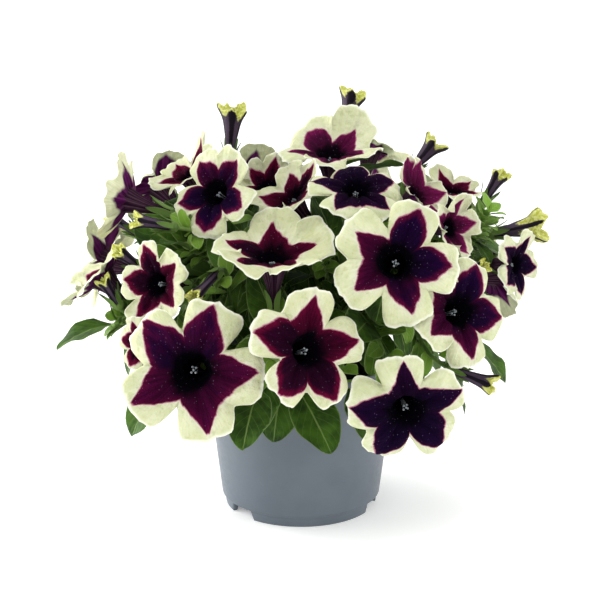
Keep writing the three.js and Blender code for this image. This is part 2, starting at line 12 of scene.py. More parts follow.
import bpy
import numpy as np
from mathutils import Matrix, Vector


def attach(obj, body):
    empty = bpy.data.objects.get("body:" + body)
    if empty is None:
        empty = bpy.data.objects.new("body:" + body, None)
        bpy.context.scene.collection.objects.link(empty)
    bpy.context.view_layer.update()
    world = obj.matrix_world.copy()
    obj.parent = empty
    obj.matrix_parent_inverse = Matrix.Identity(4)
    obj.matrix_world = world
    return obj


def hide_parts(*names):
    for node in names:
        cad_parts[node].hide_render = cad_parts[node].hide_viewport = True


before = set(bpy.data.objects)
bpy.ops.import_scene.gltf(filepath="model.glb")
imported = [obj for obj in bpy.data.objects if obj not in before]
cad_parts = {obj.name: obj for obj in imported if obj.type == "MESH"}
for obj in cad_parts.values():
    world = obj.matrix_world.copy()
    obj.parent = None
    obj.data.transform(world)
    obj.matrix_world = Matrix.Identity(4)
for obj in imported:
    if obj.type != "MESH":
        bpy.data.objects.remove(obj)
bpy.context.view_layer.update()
MM = 0.001
print("frame:", len(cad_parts), "nodes")

# %% [markdown]
# ## The plan of the plant
# A gardener would describe a potted petunia by its stems: where each leaves the soil, which
# flowers it bears and where they look. The plan says just that, and no outline is stored.
# Flowers: mouth centre, facing azimuth and elevation, width, cup (how far the rim stands before
# the mouth, as a share of the radius), hood (how far the upper lobes bend forward), roll, stem,
# and how far up the stem's main way the stalk forks off.

# %% Plan of the stems and flowers
STEMS = {
    "front": (-6, 22), "front_right": (34, 22), "right": (80, 22), "right_back": (122, 22),
    "back": (166, 22), "back_left": (212, 22), "left": (-98, 22), "front_left": (-46, 22),
    "top_front": (0, 8), "top_right": (90, 8), "top_back": (180, 8), "top_left": (-90, 8),
}
BLOOMS = {
    "front_left": (-56, -118, 118, -8, 13, 74, -0.04, 0.1, 21, "front_left"),
    "front_low": (4, -121, 130, 32, 21, 62, 0.06, 0, 13, "front"),
    "front_right": (48.5, -100, 171, -2, 24, 66, 0.02, 0.05, 22, "front_right"),
    "left_high": (-98, -20, 187, -98, 16, 50, 0.3, 0.1, 10, "left"),
    "right_side": (121, -30, 152, 55, 6, 40, 0.15, 0, 30, "right"),
    "right_back": (118, 48, 128, 112, 8, 58, 0, 0.1, 5, "right_back"),
    "back_low": (10, 134, 124, 175, 12, 64, 0, 0, 40, "back"),
    "back_left_low": (-70, 108, 126, 212, 14, 64, 0.04, 0.1, 18, "back_left"),
    "top_dark": (30, -45, 199, 8, 65, 53, -0.12, 0, 0, "top_front"),
    "top_right": (87, 10, 187, 35, 78, 37, 0.12, 0.2, 8, "top_right"),
    "top_back": (43, 82, 198, 150, 66, 50, 0.05, 0.1, 30, "top_back"),
    "top_left": (-65, 4, 197, -70, 60, 44, 0.2, 0.4, 50, "top_left"),
    "front_hanging": (55, -116, 95, 10, -12, 62, 0, -0.2, -10, "front_right", 0.4),
    "right_low": (83, -91, 142, 32, 20, 59, 0.1, 0, 35, "front_right", 0.5),
    "front_up": (-15, -76, 169, -4, 80, 66, 0.15, 0.3, 0, "front", 0.35),
    "left_upper": (-47, -43, 196, -34, 28, 52, 0.1, 0.15, 32, "top_front", 0.45),
    "left_side": (-112, -34, 147, -95, 44, 54, 0.25, 0.1, 22, "left", 0.5),
    "left_low": (-77, -76, 153, -34, 14, 46, 0.15, 0.1, 48, "front_left", 0.45),
    "left_behind": (-86, -84, 122, -34, 4, 30, 0.1, 0, 60, "front_left", 0.55),
    "top_middle": (-20, 15, 188, -20, 64, 36, 0.3, 0.4, 12, "top_left", 0.5),
    "top_crown": (17, 15, 208, -6, 80, 62, 0.12, 0.45, 36, "top_back", 0.5),
    "top_trumpet": (-6, -20, 189, -62, 52, 47, 0.35, 0.1, 24, "top_front", 0.6),
    "top_magenta": (65, -22, 191, 62, 38, 40, 0.35, 0.1, 44, "top_right", 0.5),
    "right_wilting": (81, -47, 177, 52, 12, 36, 0.5, 0, 16, "top_right", 0.35),
    "right_back_low": (80, 98, 112, 141, 6, 60, 0.02, 0.1, 25, "right_back", 0.5),
    "right_back_high": (92, 48, 168, 125, 34, 54, 0.08, 0, 55, "right_back", 0.55),
    "back_high": (55, 94, 160, 150, 26, 58, 0.05, 0.1, 12, "back", 0.5),
    "back_left_high": (-34, 88, 176, 196, 38, 60, 0.03, 0, 62, "top_back", 0.35),
    "left_back": (-120.5, 42, 136, 252, 10, 58, 0.05, 0.1, 35, "back_left", 0.45),
    "left_back_high": (-86, 48, 182, 232, 36, 52, 0.1, 0, 6, "top_left", 0.35),
}
print("plan:", len(STEMS), "stems,", len(BLOOMS), "flowers")

# %% [markdown]
# Between the flowers stand buds, from shut to half open, and leafy shoots without a flower.
# Buds: tip, azimuth and elevation, length, mouth radius, stem and fork. Shoots end in a leaf:
# its root, azimuth and elevation, stem, fork, and how small its leaves are where they are small.

# %% Plan of the buds and shoots
BUDS = {
    "bud_left_tall": (-39, 22, 233, 40, 82, 31, 8.8, "top_left", 0.7),
    "bud_top": (32, 53, 238, 92, 74, 29, 9, "top_back", 0.6),
    "bud_right_top": (80, 30, 212, 85, 50, 25, 7.5, "top_right", 0.7),
    "bud_right_high": (116, 10, 197, 75, 60, 22, 6, "top_right", 0.6),
    "bud_left_a": (-108, -58, 151, -60, 60, 18, 4.4, "left", 0.6),
    "bud_left_b": (-99, -62, 168, -60, 40, 20, 5, "left", 0.65),
    "bud_left_c": (-90, -58, 184, -75, 14, 22, 5, "left", 0.7),
    "bud_right_opening": (137.5, -12, 171, 84, 12, 30, 10, "right", 0.55),
    "bud_right_low": (106, -64, 92, 65, -14, 26, 6, "right", 0.4),
    "bud_wilted": (-56, -94, 150, -25, -15, 28, 4.2, "front_left", 0.5),
    "bud_right_small": (101, -50, 157, 40, 24, 18, 4, "right", 0.7),
    "bud_back": (30, 118, 154, 165, 40, 24, 5, "back", 0.7),
    "bud_back_left": (-84, 92, 164, 215, 45, 24, 5.5, "back_left", 0.7),
    "bud_left_back": (-112, 8, 172, 262, 30, 22, 4.4, "left", 0.7),
}
SHOOTS = {
    "front_skirt": (-4, -68, 96, 36, -40, "front", 0.3),
    "front_fill": (-22, -84, 98, -14, -25, "front", 0.4),
    "front_left_skirt": (-36, -62, 88, -30, -42, "front_left", 0.3),
    "front_left_fill": (-70, -62, 100, -50, -20, "front_left", 0.4),
    "left_pair": (-100, -46, 122, -72, -4, "left", 0.4),
    "left_skirt": (-74, -26, 100, -80, -30, "left", 0.3),
    "front_right_skirt": (24, -70, 94, 44, -34, "front_right", 0.28),
    "right_fill": (90, -36, 112, 72, -34, "right", 0.4),
    "right_rosette": (104, -25, 180, 70, 70, "right", 0.45, 0.55),
    "middle_rosette": (10, -52, 168, 20, 75, "top_front", 0.5, 0.42),
    "right_skirt": (76, -18, 96, 84, -30, "right", 0.3),
    "right_back_skirt": (60, 42, 94, 118, -38, "right_back", 0.28),
    "back_skirt": (24, 68, 94, 162, -42, "back", 0.28),
    "back_left_skirt": (-30, 68, 94, 202, -42, "back_left", 0.28),
    "left_back_skirt": (-72, 26, 94, 250, -34, "back_left", 0.38),
    "left_high_shoot": (-60, -46, 164, -50, 30, "left", 0.5, 0.6),
    "top_right_shoot": (62, 60, 176, 120, 40, "top_right", 0.4, 0.6),
}
print("plan:", len(BUDS), "buds,", len(SHOOTS), "shoots")

# %% [markdown]
# The plant's own measures: a stem's height and radii, how far apart leaves stand and how long
# they grow low down and high up, and how much room a leaf keeps round itself.

# %% Measures
STEM = {"top": 86, "bottom": 60, "base": 2.4, "tip": 1.3, "steps": 5}
STALK = {"base": 1.25, "tip": 1.05, "steps": 3}
LEAF = {
    "spacing": 21, "first": 20, "last": 14, "low": 47, "high": 36, "end": 41, "width": 0.58,
    "fold": 0.2, "droop": 0.3, "turn": 137.5, "clear": 4.4, "own_clear": 3.6,
}
POT_HEIGHT = 92
RIM_RADIUS = 60
print("leaves grow to", LEAF["low"], "mm")

# %% [markdown]
# ## Directions and curves
# Everything below is worked out with arrays of points. These few functions name directions on
# the plant and draw the curves that stems follow. A spline through hand-placed points would do
# as well, but a cubic curve needs only where a stem starts and ends and the way it faces there.

# %% Directions
def unit(vector):
    """A vector cut to length one."""
    return vector / np.linalg.norm(vector)


def facing(azimuth, elevation):
    """The direction that an azimuth from the front and an elevation name."""
    a, e = np.radians(azimuth), np.radians(elevation)
    return np.array([np.sin(a) * np.cos(e), -np.cos(a) * np.cos(e), np.sin(e)])


def axes(direction):
    """Two unit vectors square to a direction: one level, one as upright as possible."""
    upright = np.array([0.0, -1.0, 0.0]) if abs(direction[2]) > 0.99 else np.array([0.0, 0.0, 1.0])
    level = unit(np.cross(upright, direction))
    return level, unit(np.cross(direction, level))


def draw(number):
    """A repeatable draw between 0 and 1 for any whole number: the tail of a large sine."""
    return float((np.sin(number * 12.9898 + 78.233) * 43758.5453) % 1.0)


print("a draw:", round(draw(1), 3))

# %% Curves
def bezier(control, t):
    """Points of a cubic curve: the four control points weighted by the Bernstein terms."""
    t = np.asarray(t, float)[..., None]
    a, b, c, d = control
    return (1 - t) ** 3 * a + 3 * t * (1 - t) ** 2 * b + 3 * t**2 * (1 - t) * c + t**3 * d


def slope(control, t):
    """The unit direction of a cubic curve at one place, from two points close by."""
    return unit(bezier(control, min(t + 1e-4, 1.0)) - bezier(control, max(t - 1e-4, 0.0)))


def make_way(start, leave, end, arrive):
    """The control points of a way: it leaves and arrives along the two given directions."""
    reach = np.linalg.norm(end - start)
    return np.array([start, start + 0.42 * reach * leave, end - 0.32 * reach * arrive, end])


def around_axis(foot, forward, angle, radius, height):
    """Points at angles, radii and heights round an axis."""
    level, raised = axes(forward)
    a = np.radians(angle)
    return (
        foot + np.asarray(height)[..., None] * forward
        + (radius * np.sin(a))[..., None] * level + (radius * np.cos(a))[..., None] * raised
    )


print("a curve's start and end:", bezier(np.arange(12).reshape(4, 3), [0, 1]).tolist())

# %% [markdown]
# ## Where the flowers and buds stand
# A petunia flower is a funnel: its foot sits in the calyx, the tube widens to the mouth, and
# the limb spreads out from there. So its mouth and its direction fix the foot.

# %% Flower and bud frames
TUBE_LEAST = 14
TUBE_PER_RADIUS = 0.55


def flower_frame(plan):
    """Where a flower's mouth and foot are, and which way it faces."""
    x, y, z, azimuth, elevation, width, cup, hood, roll, stem = plan[:10]
    forward = facing(azimuth, elevation)
    radius = width / 2
    length = TUBE_LEAST + TUBE_PER_RADIUS * radius
    mouth = np.array([x, y, z], float)
    return {
        "mouth": mouth, "forward": forward, "radius": radius, "cup": cup, "hood": hood,
        "roll": roll, "length": length, "foot": mouth - length * forward, "stem": stem,
        "fork": plan[10] if len(plan) > 10 else 0,
    }


def bud_frame(plan):
    """Where a bud's tip and foot are, and which way it points."""
    x, y, z, azimuth, elevation, length, mouth, stem, fork = plan
    forward = facing(azimuth, elevation)
    tip = np.array([x, y, z], float)
    return {
        "tip": tip, "forward": forward, "length": length, "mouth": mouth,
        "foot": tip - length * forward, "stem": stem, "fork": fork,
    }


FLOWERS = {name: flower_frame(plan) for name, plan in BLOOMS.items()}
BUD_FRAMES = {name: bud_frame(plan) for name, plan in BUDS.items()}
print("highest bud:", max(bud["tip"][2] for bud in BUD_FRAMES.values()), "mm")

# %% [markdown]
# ## The ways of a stem
# Each stem has one main way from the soil to its own flower, and stalks and shoots fork off it.
# A way runs along one cubic curve that leaves in one direction and arrives in another, which
# gives the arch that a stem makes under the weight of its flowers.

# %% Along a way
def on_tube(way, t):
    """A point of the straight runs between a way's steps, which is the axis of its solid."""
    steps = way["form"]["steps"]
    step = min(int(t * steps), steps - 1)
    start, end = bezier(way["curve"], np.array([step, step + 1]) / steps)
    return start + (end - start) * (t * steps - step)


def way_length(way):
    """A way's length, summed over 200 short chords."""
    chords = np.diff(bezier(way["curve"], np.arange(201) / 200), axis=0)
    return float(np.linalg.norm(chords, axis=1).sum())


straight = {"curve": np.outer(np.arange(4), [0, 0, 10]), "form": STALK}
print("a straight way is", way_length(straight), "mm long, half way up at", on_tube(straight, 0.5).tolist())

# %% Ways
CALYX_DEPTH = 2


def ends_of(stem):
    """Where each way of a stem ends and how it arrives: flowers, then buds, then shoots."""
    borne = [entry for entry in (*FLOWERS.values(), *BUD_FRAMES.values()) if entry["stem"] == stem]
    ends = [
        (entry["foot"] - CALYX_DEPTH * entry["forward"], entry["forward"], entry["fork"], "")
        for entry in borne
    ]
    for name, (x, y, z, azimuth, elevation, owner, fork, *_) in SHOOTS.items():
        if owner == stem:
            ends.append((np.array([x, y, z], float), facing(azimuth, elevation), fork, name))
    return ends


def ways_of(stem):
    """A stem's own way up from the soil, then the stalks and shoots that fork off it."""
    azimuth, radius = STEMS[stem]
    a = np.radians(azimuth)
    foot = np.array([radius * np.sin(a), -radius * np.cos(a), STEM["top"]])
    ends = ends_of(stem)
    own = next(entry for entry in ends if entry[2] == 0)
    main = make_way(foot, np.array([0.0, 0.0, 1.0]), own[0], own[1])
    ways = [{"curve": main, "form": STEM, "shoot": ""}]
    for end, arrive, fork, shoot in [entry for entry in ends if entry is not own]:
        start = on_tube(ways[0], fork)
        leave = unit(slope(main, fork) + unit(end - start))
        curve = make_way(start, leave, end, arrive)
        ways.append({"curve": curve, "form": STALK, "shoot": shoot})
    return ways


WAYS = {stem: ways_of(stem) for stem in STEMS}
print("ways:", sum(len(ways) for ways in WAYS.values()))

# %% [markdown]
# ## The form of a flower
# The five petals are fused, so the limb is one waved disc with five round lobes and five clefts,
# some deeper than others. It could be sculpted, but as a formula of the angle round the flower
# and the share of the way out, every flower gets its own clefts, waves and hood from one rule.

# %% Outline of the limb
LOBE = 72
HALF_LOBE = 36


def from_midrib(angle):
    """Degrees from the nearest lobe's midrib, 0 to 36."""
    return HALF_LOBE - np.abs(np.mod(angle, LOBE) - HALF_LOBE)


def cleft_depth(flower, angle):
    """How deep the nearest cleft cuts, as a share of the radius: about 0.36, each its own."""
    return 0.36 + 0.13 * np.sin(2.7 * np.floor(np.mod(angle, 360) / LOBE) + flower["roll"])


def out_share(flower, angle, share):
    """
    How far out a point lies, as a share of the radius. Towards the rim the outline tells: 1,
    with round shoulders beside each midrib and five narrow clefts.
    """
    shoulder = np.exp(-(((from_midrib(angle) - 20) / 9) ** 2))
    cleft = np.exp(-(((HALF_LOBE - from_midrib(angle)) / 8) ** 2))
    outline = 1 + 0.05 * shoulder - cleft_depth(flower, angle) * cleft
    return share * (1 + (outline - 1) * share**2)


clefts = cleft_depth(FLOWERS["front_left"], LOBE * np.arange(5) + HALF_LOBE)
print("clefts of the largest flower:", clefts.round(2).tolist())


# %% Limb
def flower_point(flower, angle, share, lift=0.0, reach=1.0):
    """
    Points of the limb. The radius is the share of the outline there. The height over the mouth
    is a flare, plus waves round the flower, plus a hood where the upper lobes bend forward.
    """
    level, raised = axes(flower["forward"])
    roll = flower["roll"]
    turned = np.radians(angle + roll)
    radius = flower["radius"] * out_share(flower, angle, share)
    flare = flower["cup"] * share**3 - 0.13 * (1 - share) ** 2
    waves = (
        0.045 * np.cos(np.radians(5 * angle)) + 0.07 * np.sin(np.radians(2 * angle + 3 * roll))
        + 0.06 * np.sin(np.radians(3 * angle + 5 * roll + 40))
    )
    hood = flower["hood"] * np.maximum(np.cos(turned), 0) ** 1.5
    height = flower["radius"] * (flare + (waves + hood) * share**2) + lift
    return (
        flower["mouth"] + height[..., None] * flower["forward"]
        + (radius * reach * np.sin(turned))[..., None] * level
        + (radius * reach * np.cos(turned))[..., None] * raised
    )


angles = np.arange(0.0, 360.0, 5.0)
rim = flower_point(FLOWERS["front_left"], angles, np.ones_like(angles))
print("highest rim point of the largest flower:", rim[:, 2].max().round(1), "mm")

# %% [markdown]
# ## The form of a leaf
# A petunia leaf is a soft blunt egg shape, folded up a little along its midrib and drooping
# towards the tip. It turns out from its stem and up to the light.

# %% Leaf
def leaf_frame(origin, tangent, azimuth, lift, length):
    """A leaf's direction, upper side and width; an end leaf goes on where its shoot stops."""
    level, raised = axes(tangent)
    outward = unit(np.array([origin[0], origin[1], 0.0]))
    if azimuth is None:
        direction = 2 * tangent + lift * outward
    else:
        a = np.radians(azimuth)
        direction = level * np.sin(a) + raised * np.cos(a) + 0.45 * tangent + 0.5 * outward
    direction = unit(direction + np.array([0.0, 0.0, lift]))
    up = 0.4 * tangent + np.array([0.0, 0.0, 0.9]) + 0.45 * outward
    normal = unit(up - np.dot(up, direction) * direction)
    return {
        "origin": origin, "direction": direction, "normal": normal,
        "across": np.cross(direction, normal), "length": length,
    }


def blade_share(share):
    """Half the blade's width along it, as a share of the widest: a blunt egg shape."""
    return np.sin(np.pi * np.clip(share, 0, 1) ** 1.15).clip(0) ** 0.55


def leaf_point(leaf, share, across):
    """Points of a blade: it droops by the square of the share and is folded up at the midrib."""
    share = np.asarray(share, float)
    across = np.asarray(across, float)
    half = 0.5 * LEAF["width"] * leaf["length"] * np.where(share < 0.999, blade_share(share), 0)
    droop = leaf["length"] * (0.12 * share - LEAF["droop"] * share**2)
    rise = droop + LEAF["fold"] * half * np.abs(across)
    return (
        leaf["origin"] + (leaf["length"] * (0.06 + 0.94 * share))[..., None] * leaf["direction"]
        + rise[..., None] * leaf["normal"] + (half * across)[..., None] * leaf["across"]
    )


SAMPLES = np.array(
    [(share, across) for share in (0.25, 0.45, 0.65, 0.85) for across in (-1, -0.5, 0, 0.5, 1)] + [(1, 0)]
)


def leaf_samples(leaf):
    """The points of a blade that are tested for room."""
    return leaf_point(leaf, SAMPLES[:, 0], SAMPLES[:, 1])


print("a leaf is tested at", len(SAMPLES), "points")

# %% [markdown]
# ## Room for the leaves
# Leaves in a real plant push past each other until each finds light. Here each leaf tries its
# place, and the layout keeps round spots for all that is already there: flowers, buds, stems
# and leaves. A collision test between meshes would be exact but slow, and spots are enough.

# %% Neighbours
LEAF_SPOT = 0.4


class Neighbours:
    """Round spots that leaves keep clear of, each with its centre, radius and stem."""

    def __init__(self):
        self.points = np.zeros((0, 3))
        self.radii = np.zeros(0)
        self.owners = np.zeros(0, dtype=object)

    def add(self, points, radii, owner):
        points = np.atleast_2d(points)
        self.points = np.vstack([self.points, points])
        self.radii = np.concatenate([self.radii, np.broadcast_to(radii, len(points))])
        self.owners = np.concatenate([self.owners, np.full(len(points), owner, dtype=object)])

    def clearance(self, leaf, stem):
        """The least free space round a leaf; its own stem may come a little nearer."""
        points = leaf_samples(leaf)
        beside = np.maximum(np.hypot(points[:, 0], points[:, 1]) - RIM_RADIUS, 0)
        above = np.maximum(points[:, 2] - POT_HEIGHT, 0)
        over_pot = float(np.hypot(beside, above).min()) + 2
        near = np.linalg.norm(self.points - leaf["origin"], axis=1) < 1.3 * leaf["length"] + 15
        if not near.any():
            return over_pot
        spare = np.where(self.owners[near] == stem, LEAF["clear"] - LEAF["own_clear"], 0)
        apart = np.linalg.norm(points[:, None] - self.points[near][None], axis=2)
        return min(over_pot, float((apart - self.radii[near] + spare).min()))

    def takes(self, leaf, stem, room):
        """Whether a leaf has this much room. If so, it is there from now on."""
        free = self.clearance(leaf, stem) >= room
        if free:
            self.add(leaf_samples(leaf), LEAF_SPOT, stem)
        return free


print("a leaf keeps", LEAF["clear"], "mm free round itself")

# %% Spots of the flowers, buds and stems
spots = Neighbours()
for flower in FLOWERS.values():
    for share in (0.3, 0.5, 0.7, 0.85, 1.0):
        count = int(np.floor(6 + 16 * share + 0.5))
        ring = flower_point(flower, 360 * np.arange(count) / count, np.full(count, share))
        spots.add(ring, 0.6, "")
    steps = np.arange(6)
    along = flower["foot"] + (flower["length"] * steps / 6)[:, None] * flower["forward"]
    spots.add(along, 3 + 0.5 * steps, "")
for bud in BUD_FRAMES.values():
    quarters = np.arange(5)
    along = bud["foot"] + (bud["length"] * quarters / 4)[:, None] * bud["forward"]
    spots.add(along, 2.4 + 0.2 * bud["mouth"] * quarters, "")
for stem in STEMS:
    for way in WAYS[stem]:
        spots.add(bezier(way["curve"], np.arange(17) / 16), 1.5, stem)
print("spots:", len(spots.points))

# %% [markdown]
# ## The layout of the leaves
# Leaves stand in a spiral, each turned 137.5 degrees on from the last, as they do on most
# shoots. A leaf that would touch something is turned aside in steps, then raised or lowered,
# then made smaller, and left out where nothing is free. These are the part's own rules, so
# every fine leaf lands where its solid is.

# %% Leaf layout
TRIES = [
    (shrink, turn, lift) for shrink in (1, 0.8, 0.6) for lift in (0, 0.5, -0.5)
    for turn in (0, 30, -30, 60, -60, 90, -90, 120, -120, 150, -150, 180)
]


def stations(way):
    """Where leaves stand on a way, and how long they are; a shoot ends in a leaf of its own."""
    length = way_length(way)
    plan = SHOOTS.get(way["shoot"], ())
    scale = plan[7] if len(plan) > 7 else 1
    places = [(0.98, scale * LEAF["end"])] if plan else []
    s = LEAF["first"]
    while s <= length - LEAF["last"]:
        places.append((s / length, scale * (LEAF["low"] + (LEAF["high"] - LEAF["low"]) * s / length)))
        s += LEAF["spacing"]
    return places


def place_leaf(way, stem, t, size, number):
    """The first try that stays clear of everything, or nothing."""
    start = LEAF["turn"] * number + 40 * draw(number + 500)
    length = size * (0.85 + 0.3 * draw(number))
    for shrink, turn, lift in TRIES:
        azimuth = None if t > 0.97 else start + turn
        leaf = leaf_frame(on_tube(way, t), slope(way["curve"], t), azimuth, lift, shrink * length)
        if spots.takes(leaf, stem, LEAF["clear"]):
            return {**leaf, "seed": number}
    return None


leaves = {stem: [] for stem in STEMS}
places = [(stem, way, *place) for stem in STEMS for way in WAYS[stem] for place in stations(way)]
for number, (stem, way, t, size) in enumerate(places, start=1):
    leaf = place_leaf(way, stem, t, size, number)
    if leaf:
        leaves[stem].append(leaf)
lengths = [leaf["length"] for group in leaves.values() for leaf in group]
print("leaves:", len(lengths), "from", round(min(lengths)), "to", round(max(lengths)), "mm long")

# %% [markdown]
# ## Colours and nodes
# Colours are written as the sRGB values a painter would read off the flower, and turned into
# the linear light that Blender mixes. `node` adds one shader node with its settings and inputs.
# `summed` and `paint` string such nodes together: a weighted sum, and coats of colour laid over
# each other, so that each material below reads from top to bottom like a recipe. Every pattern
# lies in the piece's own space, and its grain is given in millimetres.

# %% Colours and nodes
def colour(code):
    """A hex sRGB colour as linear RGBA: c/12.92 when dark, ((c+0.055)/1.055)^2.4 above."""
    srgb = np.array([int(code[i:i + 2], 16) for i in (1, 3, 5)]) / 255
    linear = np.where(srgb <= 0.04045, srgb / 12.92, ((srgb + 0.055) / 1.055) ** 2.4)
    return (*[float(v) for v in linear], 1.0)


def node(tree, kind, inputs=None, out=0, **settings):
    """Add a shader node. An input is a number, a hex colour or another node's output."""
    made = tree.nodes.new("ShaderNode" + kind)
    for key, value in settings.items():
        setattr(made, key, value)
    for key, value in (inputs or {}).items():
        if isinstance(value, bpy.types.NodeSocket):
            tree.links.new(value, made.inputs[key])
        else:
            made.inputs[key].default_value = colour(value) if isinstance(value, str) else value
    return made.outputs[out]


def summed(tree, start, *terms):
    """A start value plus terms, each an output times a weight."""
    for term, weight in terms:
        start = node(tree, "Math", {0: term, 1: weight, 2: start}, operation="MULTIPLY_ADD")
    return start


def paint(tree, surface, *coats):
    """Coats over a colour. Each shows from one value of its mask to another, up to its most."""
    for mask, low, high, most, tint in coats:
        cover = node(
            tree, "MapRange", {"Value": mask, "From Min": low, "From Max": high, "To Max": most},
            interpolation_type="SMOOTHSTEP",
        )
        surface = node(tree, "Mix", {0: cover, 6: surface, 7: tint}, 2, data_type="RGBA")
    return surface


print("#808080 is", round(colour("#808080")[0], 3), "in linear light")


# %% Making a material
def grained(where, size, **inputs):
    """The inputs of a pattern whose grains are `size` millimetres wide."""
    return {"Vector": where, "Scale": 1 / (size * MM), **inputs}


def make_material(name, recipe, **values):
    """A material whose recipe returns its linked sockets; plain numbers go on the shader."""
    material = bpy.data.materials.new(name)
    material.use_nodes = True
    tree = material.node_tree
    shader = tree.nodes["Principled BSDF"]
    add = partial(node, tree)
    for key, source in recipe(tree, add, partial(grained, add("TexCoord", out="Object"))).items():
        tree.links.new(source, shader.inputs[key])
    for key, value in values.items():
        shader.inputs[key.replace("_", " ")].default_value = value
    return material


print("materials so far:", len(bpy.data.materials))

# %% [markdown]
# ## The petals' colour
# The dark star is velvet: cells domed like lenses trap light, so it is near black round the
# throat, violet on the arms and wine red at the edge, and each lobe has its own tone. A thin
# pink line parts it from the cream margin, where the colour has bled a little. The margin shows
# fine greenish veins, painted shade in the hollows of its crinkles and a painted highlight along
# the rim, where the rolled edge catches the light. The back of the star is magenta purple, the
# cream on the back is painted paler than on the front, as painted light on backs that lie in
# shade, and the tube is a dark purple with paler veins. A painted image would be one way, but
# petals differ, so numbers kept on the mesh lead the paint: `star` is how far a point lies
# inside the star in millimetres, `back` is 1 on the back, `turn` goes round the flower in lobes,
# `tone` is the lobe's own tone and `reach` runs from the foot (0) over the mouth (0.4) to the
# rim (1).

# %% Petal recipe
def petal_recipe(throat, arm, edge, cream, tree, add, grain):
    """Velvet star, cream margin with a pink border between, tube and back in one set of colours."""
    star, back, tone, turn, reach = [
        add("Attribute", attribute_name=key, out="Fac")
        for key in ("star", "back", "tone", "turn", "reach")
    ]
    cloud = add("TexNoise", grain(11, Detail=3.0))
    # A 4.5 mm noise for the crinkles: it roughens the star's border, raises the relief and paints shade in
    # its hollows
    crinkle = add("TexNoise", grain(4.5, Detail=3.0, Roughness=0.6))
    feather, veins, ribs = [
        add("TexNoise", {"Vector": add("CombineXYZ", {
            "X": summed(tree, 0.0, (turn, across)), "Y": summed(tree, 0.0, (reach, along)),
        }), "Scale": 1.0, "Detail": 3.0})
        for across, along in ((22, 3), (30, 2.2), (9, 1.0))
    ]
    depth = summed(tree, -1.6, (star, 1.0), (crinkle, 2.2), (feather, 1.0))
    specks = add("TexVoronoi", grain(2.0), "Distance")
    velvet = paint(
        tree, arm, (summed(tree, -0.45, (tone, 1.0), (cloud, 0.9)), 0.25, 0.75, 0.6, edge),
        (depth, 5.0, 0.5, 1.0, edge), (reach, 0.85, 0.4, 0.5, throat),
        (summed(tree, 0.0, (reach, 1.0), (cloud, -0.3)), 0.35, 0.2, 1.0, throat),
        (veins, 0.6, 0.36, 0.4, throat), (specks, 0.13, 0.05, 0.3, "#a893b6"),
    )
    margin = paint(
        # Painted shade: the darker coat lies in the hollows of the crinkle relief
        tree, cream, (cloud, 0.35, 0.65, 0.9, "#d2d3ba"), (crinkle, 0.48, 0.32, 0.6, "#acb286"),
        (veins, 0.6, 0.4, 0.25, "#b0b788"), (depth, -1.0, -6.0, 0.3, "#c6cc92"),
        # Painted highlight along the rim, where the rolled edge catches the light
        (reach, 0.95, 1.0, 0.7, "#efefe2"),
    )
    front = paint(tree, margin, (depth, -1.2, -0.3, 0.9, "#a04a74"), (depth, -0.5, 0.3, 1.0, velvet))
    tube = paint(tree, "#2c1427", (ribs, 0.42, 0.6, 0.8, "#5c4452"), (veins, 0.45, 0.6, 0.4, "#1c0c1c"))
    wash = paint(tree, "#470f44", (ribs, 0.4, 0.6, 0.8, "#6b2a63"))
    # The cream on the back is painted paler than the front's, as painted light on backs that lie in shade
    rear = paint(tree, "#e6e8c8", (veins, 0.6, 0.4, 0.35, "#c4ca98"), (depth, -2.0, 1.0, 1.0, wash))
    rear = paint(tree, tube, (summed(tree, 0.0, (reach, 1.0), (ribs, 0.12)), 0.42, 0.62, 1.0, rear))
    cells = add("TexVoronoi", grain(0.5), "Distance")
    relief = summed(tree, 0.0, (cells, 0.2), (veins, 0.6), (crinkle, 3.0))
    return {
        "Base Color": add("Mix", {0: back, 6: front, 7: rear}, 2, data_type="RGBA"),
        "Normal": add("Bump", {"Height": relief, "Distance": 0.7 * MM, "Strength": 0.9}),
    }


print("petal recipe ready")

# %% [markdown]
# Four sets of colours are enough, because tone, clouds and veins vary each flower: wine for
# most, plum for the large front ones, night for the darkest, and magenta, whose lighter tints
# are painted light for the flowers at the top that the light from above falls on. The gloss is
# nearly nil, which keeps velvet dark under a broad white light.

# %% Petal materials
VELVET = {
    "Roughness": 0.75, "Specular_IOR_Level": 0.015, "Subsurface_Weight": 0.15,
    "Subsurface_Scale": 0.8 * MM, "Subsurface_Radius": (1.0, 0.9, 0.7),
}
# Throat, arm, the arm's edge and the cream margin
TINTS = {
    "wine": ("#050208", "#26041b", "#580728", "#c2c4a3"),
    "plum": ("#040207", "#1b042a", "#50092e", "#c1c4a4"),
    "night": ("#040208", "#140522", "#220624", "#c0c5a4"),
    # Magenta: lighter tints that paint the light from above on the flowers at the top
    "magenta": ("#0a040c", "#4c1034", "#6e1648", "#c8caac"),
}
PETALS = {
    look: make_material("petal_" + look, partial(petal_recipe, *tints), **VELVET)
    for look, tints in TINTS.items()
}
print("petal materials:", list(PETALS))

# %% [markdown]
# ## Leaves and stems
# Petunia leaves are soft and sticky-haired, so they look matt. The midrib is pale and sunk, the
# side veins only just show, the edge is a fine pale line and the underside is greyer. The
# stems are paler, hairy and flushed with brown in places.

